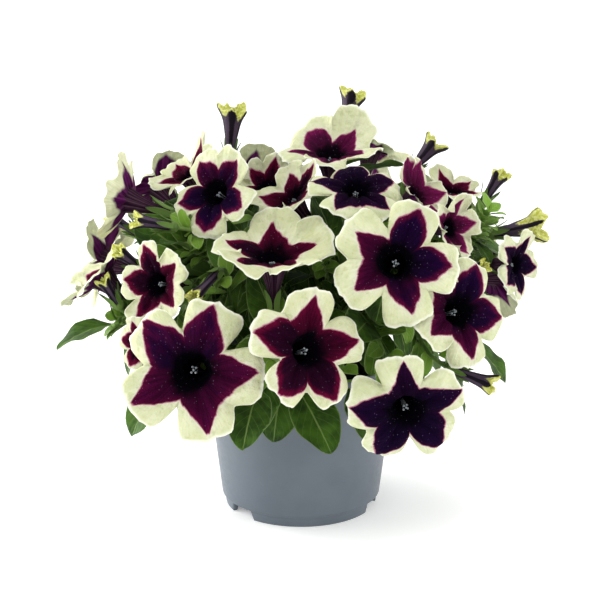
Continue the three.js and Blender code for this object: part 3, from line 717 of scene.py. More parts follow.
# %% Leaf material
def leaf_recipe(tree, add, grain):
    """Clouded green, brighter when young, with pale veins, midrib, edge and underside."""
    across, along, young, back = [
        add("Attribute", attribute_name=key, out="Fac") for key in ("across", "along", "young", "back")
    ]
    side = add("Math", {0: across}, operation="ABSOLUTE")
    cloud = add("TexNoise", grain(14, Detail=3.0, Roughness=0.6))
    quilt = add("TexNoise", grain(1.6, Roughness=0.6))
    # Seven side veins to a blade, each running forward as it goes out
    fishbone = add("Math", {0: summed(tree, 20.0, (along, 7.0), (side, -2.6))}, operation="FRACT")
    wave = add("Math", {0: summed(tree, -0.5, (fishbone, 1.0))}, operation="ABSOLUTE")
    surface = paint(
        tree, "#1f3809", (cloud, 0.35, 0.65, 1.0, "#3e5f16"), (young, 0.0, 1.0, 0.9, "#7ea63a"),
        (wave, 0.08, 0.01, 0.2, "#6d8c48"), (side, 0.06, 0.01, 0.5, "#8aa45e"),
        (summed(tree, 0.0, (side, 1.0), (young, 0.22)), 0.92, 1.04, 0.55, "#9fb47a"),
        (back, 0.0, 1.0, 0.5, "#6a8648"),
    )
    relief = summed(tree, 0.0, (wave, 0.8), (quilt, 0.8), (side, 0.5))
    return {
        "Base Color": surface,
        "Normal": add("Bump", {"Height": relief, "Distance": 0.5 * MM, "Strength": 0.6}),
    }


LEAF_MATERIAL = make_material(
    "leaf_soft_hairy", leaf_recipe, Roughness=0.6, Specular_IOR_Level=0.15, Sheen_Weight=0.03,
    Sheen_Roughness=0.4, Sheen_Tint=colour("#c3cfb4"), Subsurface_Weight=0.06,
    Subsurface_Scale=0.5 * MM, Subsurface_Radius=(0.5, 1.0, 0.25),
)
print("leaf material:", LEAF_MATERIAL.name)


# %% Stem material
def stem_recipe(tree, add, grain):
    """Clouded green with a brown flush here and there, and fine hairs as relief."""
    cloud = add("TexNoise", grain(11, Detail=3.0))
    flush = add("TexNoise", grain(5))
    hairs = add("TexNoise", grain(0.7))
    surface = paint(
        tree, "#456128", (cloud, 0.35, 0.65, 1.0, "#6a8440"), (flush, 0.6, 0.75, 0.35, "#5a3f45"),
    )
    return {"Base Color": surface, "Normal": add("Bump", {"Height": hairs, "Distance": 0.2 * MM})}


STEM_MATERIAL = make_material(
    "stem_hairy_green", stem_recipe, Roughness=0.6, Specular_IOR_Level=0.25, Sheen_Weight=0.2,
    Sheen_Roughness=0.4, Sheen_Tint=colour("#d0d8c0"),
)
print("stem material:", STEM_MATERIAL.name)

# %% [markdown]
# ## Buds and pollen
# A bud shows the outside of the folded petals: five near-black ribs with paler skin between, and
# at the mouth the young margin, which is yellow-green before it turns cream. `fold` is 1 on a
# rib and 0 between ribs, `reach` runs up the outside and down the inside, and `opened` is 1 on
# a bud whose margin already shows between the ribs. Anthers are dusty with grey-white pollen.

# %% Bud and pollen materials
def bud_recipe(tree, add, grain):
    """Dark ribs on grey-purple skin, a yellow-green margin at the mouth and a green foot."""
    reach, fold, opened = [
        add("Attribute", attribute_name=key, out="Fac") for key in ("reach", "fold", "opened")
    ]
    ridge = add("Math", {0: opened, 1: fold}, operation="MULTIPLY")
    fine = add("TexNoise", grain(1.6, Detail=3.0))
    rough = add("TexNoise", grain(0.6))
    ribbed = summed(tree, -0.25, (fold, 1.0), (fine, 0.5))
    outside = paint(tree, "#483a4c", (ribbed, 0.3, 0.75, 1.0, "#150a19"))
    young = paint(tree, "#a8ac3a", (fine, 0.35, 0.65, 1.0, "#cfd087"))
    bleed = summed(
        tree, -0.05, (reach, 1.0), (fold, -0.13), (fine, 0.1), (opened, 0.14), (ridge, -0.14),
    )
    surface = paint(tree, outside, (bleed, 0.4, 0.45, 1.0, young), (reach, 0.1, 0.0, 1.0, "#5d6b3c"))
    return {"Base Color": surface, "Normal": add("Bump", {"Height": rough, "Distance": 0.2 * MM})}


def pollen_recipe(tree, add, grain):
    """Grey grains, some nearly white."""
    grains = add("TexNoise", grain(0.5))
    return {
        "Base Color": paint(tree, "#565c66", (grains, 0.35, 0.65, 1.0, "#9ba2a2")),
        "Normal": add("Bump", {"Height": grains, "Distance": 0.15 * MM}),
    }


BUD_MATERIAL = make_material("bud_folded_petal", bud_recipe, Roughness=0.6, Specular_IOR_Level=0.15)
POLLEN = make_material("anther_pollen", pollen_recipe, Roughness=0.85, Specular_IOR_Level=0.2)
print("bud and pollen materials ready")

# %% [markdown]
# ## Potting mix and pot
# The mix is peat and bark in crumbs of 1 to 3 mm, nearly black when damp. The pot is
# injection-moulded polypropylene: an even grey-blue with a fine-grained satin skin, and a
# little dust and scuffing that changes the gloss more than the colour.

# %% Potting mix and pot materials
def mix_recipe(tree, add, grain):
    """Damp peat with paler bark, in crumbs."""
    crumbs = add("TexVoronoi", grain(2.4), "Distance")
    damp = add("TexNoise", grain(3, Detail=4.0, Roughness=0.7))
    bark = add("TexNoise", grain(1.3))
    surface = paint(
        tree, "#1a110b", (damp, 0.3, 0.7, 1.0, "#463122"), (bark, 0.68, 0.78, 0.6, "#7d6549"),
    )
    relief = summed(tree, 0.0, (crumbs, 1.0), (bark, 1.0))
    return {"Base Color": surface, "Normal": add("Bump", {"Height": relief, "Distance": 1.2 * MM})}


def pot_recipe(tree, add, grain):
    """Even grey-blue with dust, scuffs that also dull the gloss, and a fine-grained skin."""
    dust = add("TexNoise", grain(22, Detail=4.0))
    scuff = add("TexNoise", grain(2.5, Detail=4.0, Roughness=0.65))
    skin = add("TexNoise", grain(0.4))
    surface = paint(
        tree, "#535c66", (dust, 0.35, 0.65, 0.5, "#5e6770"), (scuff, 0.62, 0.8, 0.3, "#757e86"),
        (skin, 0.62, 0.75, 0.25, "#49525b"),
    )
    rough = add("MapRange", {
        "Value": scuff, "From Min": 0.3, "From Max": 0.75, "To Min": 0.36, "To Max": 0.5,
    })
    return {
        "Base Color": surface, "Roughness": rough,
        "Normal": add("Bump", {"Height": skin, "Distance": 0.04 * MM, "Strength": 0.6}),
    }


MIX_MATERIAL = make_material("potting_mix", mix_recipe, Roughness=0.93, Specular_IOR_Level=0.2)
POT_MATERIAL = make_material("pot_polypropylene", pot_recipe, Specular_IOR_Level=0.5)
print("materials:", len(bpy.data.materials))

# %% [markdown]
# ## Gathering grids into a mesh
# Each surface is a grid of points worked out by a formula. `Shell` gathers such grids, with
# the numbers that the materials read, and turns them into one mesh object that stands for its
# solid. Adding faces one by one would be simpler to read, but far slower.

# %% Shell
# A piece has one or two materials, and a grid wears the first or the second
FIRST, SECOND = 0, 1


class Shell:
    """Grids and their attributes, gathered into one mesh."""

    def __init__(self):
        self.points, self.faces, self.slots, self.values = [], [], [], {}
        self.count = 0

    def grid(self, points, slot, around, flip, **values):
        """Add a grid of shape (rows, columns, 3); `around` joins the last column to the first."""
        rows, columns = points.shape[:2]
        numbers = self.count + np.arange(rows * columns).reshape(rows, columns)
        after = np.roll(numbers, -1, axis=1) if around else numbers[:, 1:]
        before = numbers if around else numbers[:, :-1]
        quads = np.stack([before[:-1], after[:-1], after[1:], before[1:]], axis=-1).reshape(-1, 4)
        self.points.append(points.reshape(-1, 3))
        self.faces.append(quads[:, ::-1] if flip else quads)
        self.slots.append(np.full(len(quads), slot))
        for name in sorted({*values, *self.values}):
            column = np.broadcast_to(values.get(name, 0.0), (rows, columns)).reshape(-1)
            self.values.setdefault(name, np.zeros(self.count))
            self.values[name] = np.concatenate([self.values[name], column])
        self.count += rows * columns

    def mesh(self, name):
        """The gathered points and faces as a smooth mesh."""
        mesh = bpy.data.meshes.new(name)
        faces = np.concatenate(self.faces)
        mesh.vertices.add(self.count)
        mesh.vertices.foreach_set("co", np.concatenate(self.points).reshape(-1) * MM)
        mesh.loops.add(faces.size)
        mesh.loops.foreach_set("vertex_index", faces.reshape(-1))
        mesh.polygons.add(len(faces))
        mesh.polygons.foreach_set("loop_start", np.arange(0, faces.size, 4))
        mesh.polygons.foreach_set("material_index", np.concatenate(self.slots))
        mesh.update(calc_edges=True)
        mesh.validate()
        for key, column in self.values.items():
            mesh.attributes.new(key, "FLOAT", "POINT").data.foreach_set("value", column)
        mesh.shade_smooth()
        return mesh


print("a shell starts with", Shell().count, "points")


# %% From shell to piece
def add_piece(shell, name, materials, node_name):
    """Make the object from a shell, and let it stand for its CAD node."""
    made = bpy.data.objects.new(name, shell.mesh(name))
    for material in materials:
        made.data.materials.append(material)
    bpy.context.scene.collection.objects.link(made)
    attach(made, "root")
    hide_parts(node_name)
    return made


print("nodes to replace:", len(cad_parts))

# %% [markdown]
# Stems, stalks and stamens are round things along a line. `smooth_line` rounds off a few given
# rows, and `pipe` sweeps a ring along a line without twist and closes it at both ends.

# %% Pipes
def smooth_line(rows, count):
    """A smooth line through the given rows (Catmull-Rom), sampled evenly between them."""
    rows = np.asarray(rows, float)
    ends = np.vstack([2 * rows[0] - rows[1], rows, 2 * rows[-1] - rows[-2]])
    t = np.linspace(0, len(rows) - 1, count)
    i = np.minimum(t.astype(int), len(rows) - 2)
    f = (t - i)[:, None]
    a, b, c, d = ends[i], ends[i + 1], ends[i + 2], ends[i + 3]
    square, cube = 2 * a - 5 * b + 4 * c - d, 3 * b - a - 3 * c + d
    return 0.5 * (2 * b + (c - a) * f + square * f**2 + cube * f**3)


def pipe(shell, points, radii, sides):
    """A round tube: at each point a ring, square to the line and turned on from the last one."""
    tangents = np.gradient(points, axis=0)
    level = axes(unit(tangents[0]))[0]
    levels, raised = [], []
    for tangent in tangents:
        level = unit(level - np.dot(level, unit(tangent)) * unit(tangent))
        levels.append(level)
        raised.append(np.cross(unit(tangent), level))
    angle = np.linspace(0, 2 * np.pi, sides, endpoint=False)[None, :, None]
    ring = np.array(levels)[:, None] * np.cos(angle) + np.array(raised)[:, None] * np.sin(angle)
    grid = points[:, None] + ring * np.asarray(radii)[:, None, None]
    caps = [np.repeat(end[None, None], sides, axis=1) for end in (points[0], points[-1])]
    shell.grid(np.concatenate([caps[0], grid, caps[1]]), SECOND, around=True, flip=True)


print("a smooth line:", smooth_line([(0, 0), (1, 1), (2, 0)], 5).round(2).tolist())

# %% [markdown]
# ## The star on a flower
# The star is where colour cells grew out along the midribs. Its border climbs from each cleft
# to a sharp tip, which lies a little aside from the midrib and is nearer the rim on one lobe
# than on the next. Narrow arms climb steeply and broad ones stay full.

# %% Numbers that differ from lobe to lobe
def ripple(angle, count, phase):
    """A wave that goes round the axis `count` times."""
    return np.sin(np.radians(count * angle) + phase)


def beside_midrib(angle):
    """Degrees from the nearest lobe's midrib, -36 to 36."""
    return np.mod(angle + HALF_LOBE, LOBE) - HALF_LOBE


def lobe_value(angle, seed, shift):
    """One repeatable number from -1 to 1 for each lobe, a sine of its count."""
    return np.sin(7.1 * np.floor(np.mod(angle + HALF_LOBE, 360) / LOBE) + 3.3 * seed + shift)


def lobe_draw(angle, seed, shift):
    """The lobe's number, fading to nothing in the last 14 degrees before a cleft."""
    fade = np.clip((HALF_LOBE - from_midrib(angle)) / 14, 0, 1)
    return lobe_value(angle, seed, shift) * np.sin(np.pi * fade / 2)


print("one number for each lobe:", lobe_value(LOBE * np.arange(5), 1, 0).round(2).tolist())

# %% Star
# How steeply the arms narrow, and how far the star reaches, on flowers that show their faces
STARS = {
    "front_left": (0.75, 1.07), "front_low": (0.85, 1.03), "front_right": (1.1, 0.96),
    "front_hanging": (1.15, 1.05), "front_up": (1.0, 0.87), "right_low": (0.8, 0.99),
    "top_dark": (0.6, 1.05), "top_crown": (0.9, 0.86), "top_magenta": (0.5, 1.12),
}


def star_depth(flower, angle, radius_share, seed, steep=0.8, size=0.95):
    """
    How far inside the star a point lies, in millimetres. With `away` from 0 at the arm's tip to
    1 at the cleft, the border is the base plus the arm times (1 - away) to a power, which is
    `steep` times a draw: a low power makes a blunt arm, a high one a sharp arm.
    """
    side = beside_midrib(angle)
    lean = 5 * lobe_value(angle, seed, 1) * (1 - (side / HALF_LOBE) ** 2)
    away = np.clip(np.abs(side - lean) / HALF_LOBE, 0, 1)
    base = 0.13 + 0.53 * (1 - cleft_depth(flower, angle))
    tip = 0.82 + 0.06 * lobe_value(angle, seed, 0)
    point = 0.1 * np.exp(-6 * away)
    power = steep * np.exp(0.55 * lobe_value(angle, seed, 9))
    ragged = 0.014 * ripple(angle, 10, 2 * seed) + 0.008 * ripple(angle, 23, seed)
    border = size * (base + (tip - base) * (1 - away) ** power + point) + ragged
    return (border - radius_share) * flower["radius"]


print("stars shaped by hand:", len(STARS))

# %% [markdown]
# ## The limb's fine form
# A real limb is never flat: each lobe is grooved along its midrib, swells on both sides of it,
# bends back at the rim by its own amount, and laps a little over or under its neighbour. All of
# that is added here as a height over the plain limb, and the rim reaches out a little unevenly.

# %% Fine limb
def fine_limb(flower, angle, share, seed):
    """The limb plus grooves, swellings, bends, laps and frills, each a product of smooth terms."""
    aside = from_midrib(angle)
    side = beside_midrib(angle) / HALF_LOBE
    outer = np.clip((share - 0.5) / 0.5, 0, 1)
    groove = -0.04 * np.exp(-((aside / 6) ** 2)) * np.sin(np.pi * share) ** 2
    puff = 0.045 * np.sin(np.pi * aside / HALF_LOBE) ** 2 * np.sin(np.pi * share)
    bend = (0.12 * lobe_draw(angle, seed, 2) - 0.06) * outer**2
    lap = 0.045 * outer * side**3 * np.sign(lobe_value(angle, seed, 5) + 2 * np.sin(seed))
    twist = 0.13 * outer**2 * side * lobe_draw(angle, seed, 7)
    frill = share**6 * (
        0.02 * ripple(angle, 13, seed) + 0.016 * ripple(angle, 21, 2.1 * seed)
        + 0.008 * ripple(angle, 37, 1.3 * seed)
    )
    roll = -0.04 * np.clip((share - 0.88) / 0.12, 0, 1) ** 2
    height = flower["radius"] * (groove + puff + bend + lap + twist + frill + roll)
    reach = 0.985 + share**8 * (
        (0.03 + 0.02 * lobe_value(angle, seed, 4)) * np.exp(-aside / 4.0)
        - 0.035 * np.exp(-(((aside - 22) / 8) ** 2)) + 0.012 * ripple(angle, 17, 1.7 * seed)
        + 0.006 * ripple(angle, 41, seed)
    )
    return flower_point(flower, angle, share, height, reach)


fine_rim = fine_limb(FLOWERS["front_left"], angles, np.ones_like(angles), 1.0)
print("the rim moves by up to", np.linalg.norm(fine_rim - rim, axis=1).max().round(1), "mm")

# %% [markdown]
# ## A whole flower
# Tube and limb are one sheet, made here as a front and a back half a millimetre apart and
# joined at the rim, so that light and eye see a real petal from both sides.

# %% Flower sheet
# Steps round the flower lie closer at the clefts, where the outline turns sharply. The limb
# starts at a share of the radius, and the tube's last ring is the limb's first.
AROUND, OUT, UP = 140, 22, 12
TURNS = np.arange(AROUND) * 360 / AROUND
ANGLES = TURNS + np.degrees(0.07 * ripple(TURNS, 5, 0))
LIMB_START = 0.3
SHARES = LIMB_START + (1 - LIMB_START) * np.linspace(0, 1, OUT) ** 0.9
MOUTH_REACH = 0.4


def flower_sheet(flower, seed):
    """The middle of the petal: rings up the tube from a smooth profile, then the limb."""
    radius, length = flower["radius"], flower["length"]
    limb = fine_limb(flower, *np.meshgrid(ANGLES, SHARES), seed)
    ring = limb[0] - flower["foot"]
    level, raised = axes(flower["forward"])
    throat = np.hypot(ring @ level, ring @ raised).mean()
    profile = smooth_line([
        (2.0, 0), (2.4, 0.2 * length), (0.1 * radius + 0.6, 0.45 * length),
        (0.22 * radius, 0.78 * length), (throat, (ring @ flower["forward"]).mean()),
    ], UP)
    rib = 1 + 0.05 * np.cos(np.radians(5 * ANGLES)) * np.sin(np.pi * np.linspace(0, 1, UP))[:, None]
    turned = np.broadcast_to(ANGLES + flower["roll"], rib.shape)
    height = np.broadcast_to(profile[:, 1:], rib.shape)
    tube = around_axis(flower["foot"], flower["forward"], turned, profile[:, :1] * rib, height)
    return np.concatenate([tube[:-1], limb])


print("points round a flower:", AROUND, "and from foot to rim:", UP - 1 + OUT)

# %% Flower shell
PETAL_HALF = 0.28
FRONT_START = 4


def flower_shell(flower, seed, star):
    """Front and back sheet, half the thickness off to each side along the surface's normal."""
    sheet = flower_sheet(flower, seed)
    outwards = (SHARES - LIMB_START) / (1 - LIMB_START)
    limb = MOUTH_REACH + (1 - MOUTH_REACH) * outwards
    reach = np.concatenate([np.linspace(0, MOUTH_REACH, UP)[:-1], limb])
    reach = np.broadcast_to(reach[:, None], sheet.shape[:2])
    angle = np.broadcast_to(ANGLES, reach.shape)
    out = np.concatenate([np.zeros((UP - 1, AROUND)), out_share(flower, *np.meshgrid(ANGLES, SHARES))])
    values = {
        "star": star_depth(flower, angle, out, seed, *star), "turn": angle / LOBE, "reach": reach,
        "tone": 0.5 + 0.5 * lobe_draw(angle, seed, 3),
    }
    around = np.roll(sheet, -1, axis=1) - np.roll(sheet, 1, axis=1)
    normal = np.cross(around, np.gradient(sheet, axis=0))
    normal /= np.linalg.norm(normal, axis=2)[..., None] + 1e-12
    normal *= np.sign(np.sum(normal[-1] * flower["forward"], axis=1).mean())
    half = (PETAL_HALF * (1 - np.clip((reach - 0.9) / 0.1, 0, 1) ** 2))[..., None] * normal
    shell = Shell()
    shell.grid(sheet - half, FIRST, True, True, back=1.0, **values)
    # The front starts a few rings up, where the tube has opened
    values = {key: value[FRONT_START:] for key, value in values.items()}
    shell.grid((sheet + half)[FRONT_START:], FIRST, True, False, back=0.0, **values)
    return shell


print("a petal is", 2 * PETAL_HALF, "mm thick")

# %% [markdown]
# ## Stamens
# In the mouth stand four anthers and a stigma, close together on short threads. They are the
# only pale spot in the dark throat, so they are modelled and not just painted.

# %% Stamens
def add_anthers(shell, flower, seed):
    """Threads up from the tube, each with a short spindle of pollen, the stigma highest."""
    depth = 0.82 * flower["length"]
    size = 0.42 + 0.006 * flower["radius"]
    for i in range(5):
        ring = 0.35 if i == 4 else 0.045 * flower["radius"]
        lift = depth + 1.6 * draw(10 * seed + i) + (0.8 if i == 4 else 0.0)
        turn = 90.0 * i + 40 * draw(10 * seed + i + 5) + 30 * seed
        tip = around_axis(flower["foot"], flower["forward"], turn, ring, lift)
        root = around_axis(flower["foot"], flower["forward"], turn, ring * 0.5, depth - 8)
        pipe(shell, smooth_line([root, 0.5 * (root + tip), tip], 6), np.full(6, 0.2), 6)
        lobe = smooth_line([tip - size * flower["forward"], tip, tip + size * flower["forward"]], 7)
        pipe(shell, lobe, size * np.sin(np.linspace(0.25, np.pi - 0.25, 7)), 8)


# %% Flowers
LOOKS = {
    "front_hanging": "night", "top_dark": "night", "right_side": "night", "left_upper": "plum",
    "front_right": "plum", "front_left": "plum", "right_low": "plum",
    # The magenta set is painted light: its lighter tints stand for the light from above on these high
    # flowers
    "top_crown": "magenta", "top_magenta": "magenta", "right_wilting": "magenta",
}
for number, (name, flower) in enumerate(FLOWERS.items()):
    shell = flower_shell(flower, 1.0 + 0.7 * number, STARS.get(name, ()))
    add_anthers(shell, flower, number + 1)
    petals = PETALS[LOOKS.get(name, "wine")]
    made = add_piece(shell, "petals_" + name, [petals, POLLEN], "bloom_" + name)
print("flowers:", len(FLOWERS), "with", len(made.data.polygons), "faces each")

# %% [markdown]
# ## Buds
# A petunia bud is the funnel folded up, and the older ones here are half open: five dark ribs
# widen from the calyx to five points, the pleats between them are drawn in, and in the mouth
# the crumpled yellow-green lobes are still rolled together. One bud on the right is opening, and
# its five lobes already stand apart.

# %% Bud shell
BUD_RINGS, BUD_TURNS = 42, 80


def bud_shell(bud, seed, opened):
    """
    Outside and inside as one skirt turned round the axis: foot, waist, five-pointed mouth, then
    down to the heart. The radius is the profile's, less a pleat between ribs, plus crumples.
    """
    length, mouth = bud["length"], bud["mouth"]
    form = smooth_line([
        (2.0, 0), (2.3, 0.18), (0.33 * mouth + 1.0, 0.45), (0.6 * mouth + 0.5, 0.74),
        ((1.02 + 0.1 * opened) * mouth, 0.95), ((0.88 + 0.1 * opened) * mouth, 0.99),
        (0.5 * mouth, 0.91), (0.25 * mouth, 0.83), (0.3, 0.8),
    ], BUD_RINGS)
    reach = np.linspace(0, 1, BUD_RINGS)[:, None]
    angle = np.linspace(0, 360, BUD_TURNS, endpoint=False)[None]
    fold = 0.5 + 0.5 * np.cos(np.radians(5 * (angle + 14 * np.sin(seed) * reach)))
    flared = np.clip((reach - 0.15) / 0.4, 0, 1)
    inside = np.clip((reach - 0.52) / 0.15, 0, 1)
    uneven = flared * (0.1 * ripple(angle, 2, 2 * seed) + 0.06 * ripple(angle, 1, seed))
    crumple = inside * (0.15 * ripple(angle, 10, 3 * seed) + 0.1 * ripple(angle, 17, 5 * reach))
    pleat = 1 - flared * (0.14 + 0.12 * inside) * (1 - fold)
    radius = form[:, :1] * (pleat + crumple + uneven + 0.015 * ripple(angle, 25, 0) * flared)
    points = np.clip((reach - 0.3) / 0.3, 0, 1) * (0.09 + 0.13 * opened) * (fold - 0.75)
    wavy = inside * 0.04 * ripple(angle, 15, seed) + 0.4 * uneven
    height = length * (form[:, 1:] + points + wavy)
    turned = np.broadcast_to(angle, radius.shape)
    grid = around_axis(bud["foot"], bud["forward"], turned, radius, height)
    shell = Shell()
    # On an opened bud the dark ribs run out thin between the margins
    thinned = fold ** (1 + 7 * opened * reach)
    shell.grid(grid, FIRST, True, True, reach=reach, fold=thinned, opened=opened)
    return shell


print("points on a bud:", BUD_RINGS * BUD_TURNS)

# %% Buds
for number, (name, bud) in enumerate(BUD_FRAMES.items()):
    shell = bud_shell(bud, 1.7 * number, 1.0 if name == "bud_right_opening" else 0.0)
    add_piece(shell, "petals_" + name, [BUD_MATERIAL], name)
print("buds:", len(BUDS))

# %% [markdown]
# ## Leaf blades
# Each leaf is a two-sided sheet with a short stalk, quilted between the side veins, wavy at the
# edge and curled a little to one side. `young` runs from 0 for a full-grown leaf to 1 for a
# bright new one, and `neck` is how far up the blade it reaches its width.

# %% Blades
# Steps along and across a full-grown blade and a small one
LARGE, SMALL = (15, 11), (7, 5)
BLADE_HALF = 0.26


def blade(shell, leaf, young, steps=LARGE, neck=0.16):
    """Upper and lower side: the plain blade plus waves and quilting along its normal."""
    rows, columns = steps
    # Rows lie closer towards the tip, which is round
    share = np.sin(np.pi / 2 * np.linspace(0, 1, rows))[:, None] * np.ones(columns)
    across = np.linspace(-1, 1, columns)[None] * np.ones((rows, 1))
    seed = leaf["seed"]
    width = 0.12 + 0.88 * np.clip(share / neck, 0, 1) ** 1.5
    wave = 0.03 * np.sin(9 * share + 1.3 * seed) + 0.016 * np.sin(19 * share + 2.2 * seed)
    quilt = 0.006 * np.cos(14 * np.pi * (share - 0.37 * np.abs(across))) * (1 - np.abs(across))
    cup = leaf["length"] * (wave * across * np.abs(across) + quilt)
    curl = leaf["length"] * 0.05 * np.sin(0.9 * seed) * share**2
    points = leaf_point(leaf, share, across * width) + cup[..., None] * leaf["normal"]
    points = points + curl[..., None] * leaf["across"]
    half = BLADE_HALF * np.clip(1 - np.abs(across) ** 6, 0.05, 1) * (1 - 0.9 * share**8)
    offset = half[..., None] * leaf["normal"]
    values = {"across": across, "along": share, "young": young}
    shell.grid(points + offset, FIRST, False, False, back=0.0, **values)
    shell.grid(points - offset, FIRST, False, True, back=1.0, **values)


print("a blade is", 2 * BLADE_HALF, "mm thick")

# %% [markdown]
# ## Calyces
# Five narrow green sepals hold each flower's foot. They hug the tube and turn out at the tip,
# above a small green cup that hides the joint with the stalk.

# %% Sepals
def sepals(shell, foot, forward, roll, size, tube):
    """Each sepal is a strip round the tube: its radius grows by a power of the way up."""
    cup = smooth_line([(0.4, -3.4), (2.4, -2.4), (3.3, 0.0), (3.2, 1.6)], 7)
    angle = np.linspace(0, 360, 20, endpoint=False) * np.ones((7, 1))
    round_cup = around_axis(foot, forward, angle, cup[:, :1] * np.ones(20), cup[:, 1:] * np.ones(20))
    shell.grid(round_cup, SECOND, True, True)
    share = np.linspace(0, 1, 10)[:, None] * np.ones(5)
    across = np.linspace(-1, 1, 5)[None] * np.ones((10, 1))
    half = 1.9 * size * np.sin(np.pi * np.clip(0.22 + 0.78 * share, 0, 1)) ** 0.7
    radius = 3.0 + tube * share + 3.4 * size * share**2.2 + 0.3 * np.abs(across)
    height = 0.4 + 14.5 * size * share
    for i in range(5):
        turned = roll + LOBE * i + np.degrees(half * across / radius)
        for lift, back in ((0.25, 1.0), (-0.1, 0.0)):
            grid = around_axis(foot, forward, turned, radius + lift * (1 - share**4), height)
            values = {"across": across, "along": share, "young": 0.35, "back": back}
            shell.grid(grid, FIRST, False, back == 1.0, **values)


print("stalk ends that get sepals:", len(FLOWERS) + len(BUD_FRAMES))

# %% [markdown]
# ## Young leaves
# Small leaves stand in pairs all along a way, largest low down, and each is kept only where it
# is clear. At a growing tip they crowd into a tuft of bright spoon-shaped leaves, too dense and
# soft for a solid each.

# %% Young leaves
YOUNG = {"first": 3.5, "spacing": 8, "reach": 0.85, "size": 10, "growth": 14, "clear": 1.7}


def young_leaves(shell, way, stem, seed):
    """Pairs at even steps back from the end, each tried in three places."""
    made = 0
    length = way_length(way)
    for k, back_off in enumerate(np.arange(YOUNG["first"], YOUNG["reach"] * length, YOUNG["spacing"])):
        t = 1 - back_off / length
        low = min(k / 6, 1.0)
        direction = slope(way["curve"], t)
        for turn in (0, 180):
            size = YOUNG["size"] + YOUNG["growth"] * low + 5 * draw(seed * 7 + k + turn)
            for aside in (0, 45, -45):
                azimuth = 90 * k + turn + 50 * seed + aside
                leaf = leaf_frame(on_tube(way, t), direction, azimuth, 0.15, size)
                if spots.takes(leaf, stem, YOUNG["clear"]):
                    blade(shell, {**leaf, "seed": seed + k + turn}, 0.85 - 0.7 * low, SMALL)
                    made += 1
                    break
    return made


print("young leaves keep", YOUNG["clear"], "mm free round themselves")

# %% Tufts
# How far back from the shoot's end a tuft reaches, how many leaves it has and how long they are
TUFTS = {
    "right_rosette": (66, 52, 18), "middle_rosette": (30, 20, 14), "left_pair": (18, 16, 21),
    "left_high_shoot": (20, 14, 14),
}


def tuft(shell, way, seed, reach, count, size):
    """Crossed pairs of leaves over the last stretch of a way, smaller towards its end."""
    length = way_length(way)
    for k in range(count):
        low = k / count
        t = 1 - reach * low / length
        turn = 90 * (k // 2) + 180 * (k % 2) + 30 * draw(seed + k)
        grown = size * (0.65 + 0.35 * low) * (0.85 + 0.3 * draw(seed + k + 20))
        lift = 0.4 + 0.4 * draw(seed + k + 50)
        leaf = leaf_frame(on_tube(way, t), slope(way["curve"], t), turn, lift, grown)
        blade(shell, {**leaf, "seed": seed + k}, 0.75 - 0.3 * low, SMALL, neck=0.5)


print("leaves in tufts:", sum(count for _, count, _ in TUFTS.values()))

# %% [markdown]
# ## The green pieces
# Stem, stalks, leaves and calyces of one stem grew as one, so they are one piece: round
# tapering pipes with the blades and sepals on them.

# %% Stems with their leaves
WAY_RINGS, WAY_SIDES = 28, 10


def green_shell(stem, index):
    """All that is green on one stem, and how many young leaves found room."""
    shell, young = Shell(), 0
    for k, way in enumerate(WAYS[stem]):
        line = bezier(way["curve"], np.linspace(0, 1, WAY_RINGS))
        radii = np.linspace(way["form"]["base"], way["form"]["tip"], WAY_RINGS)
        if way["form"] is STEM:
            line = np.vstack([[line[0][0], line[0][1], STEM["bottom"]], line])
            radii = np.concatenate([[STEM["base"]], radii])
        pipe(shell, line, radii, WAY_SIDES)
        if way["shoot"] in TUFTS:
            tuft(shell, way, 40 * index + k, *TUFTS[way["shoot"]])
        else:
            young += young_leaves(shell, way, stem, 20 * index + k + 1)
    for leaf in leaves[stem]:
        blade(shell, leaf, 0.0)
    for borne, size, swell in ((FLOWERS, 1.0, 0.6), (BUD_FRAMES, 0.75, 0.9)):
        for entry in [entry for entry in borne.values() if entry["stem"] == stem]:
            sepals(shell, entry["foot"], entry["forward"], entry.get("roll", 0), size, swell)
    return shell, young


young_count = 0
for index, stem in enumerate(STEMS):
    shell, young = green_shell(stem, index)
    add_piece(shell, "green_" + stem, [LEAF_MATERIAL, STEM_MATERIAL], "stem_" + stem)
    young_count += young
print("stems:", len(STEMS), "young leaves:", young_count)

# %% [markdown]
# ## The pot
# A nursery pot is moulded in one shot: foot ring, step, tapered wall and rolled rim. Turned from
# one profile it stays true and round, and three notches lift the foot ring where it drains.

# %% Pot
POT_TURNS = 288
# Azimuths in degrees, half the angle at the foot, how far in the sides slope, and the height
NOTCH = {"azimuths": (-50, 70, 190), "half": 12.2, "slope": 2.4, "height": 6.0}
FOOT_RADIUS = 45.7
# Radius and height: under the floor, foot ring, step, wall, rolled rim, then down the inside
POT_PROFILE = [
    (36.0, 4.0), (41.4, 4.0), (41.8, 3.7), (42.0, 3.2), (42.2, 0.5), (42.6, 0.05), (43.0, 0.0),
    (44.4, 0.0), (44.8, 0.1), (45.0, 0.5), (45.3, 3.0), (45.6, 6.0), (45.9, 6.25), (46.6, 6.35),
    (47.0, 6.6), (47.15, 7.4), (49.6, 28.0), (52.6, 53.0), (56.2, 83.6), (56.5, 84.8), (57.2, 85.3),
    (59.2, 85.5), (59.8, 85.8), (60.0, 86.5), (60.0, 91.2), (59.8, 91.8), (59.3, 92.0),
    (58.9, 91.9), (58.5, 91.4), (58.0, 90.0), (55.2, 85.0), (55.0, 84.0), (52.0, 60.0),
]


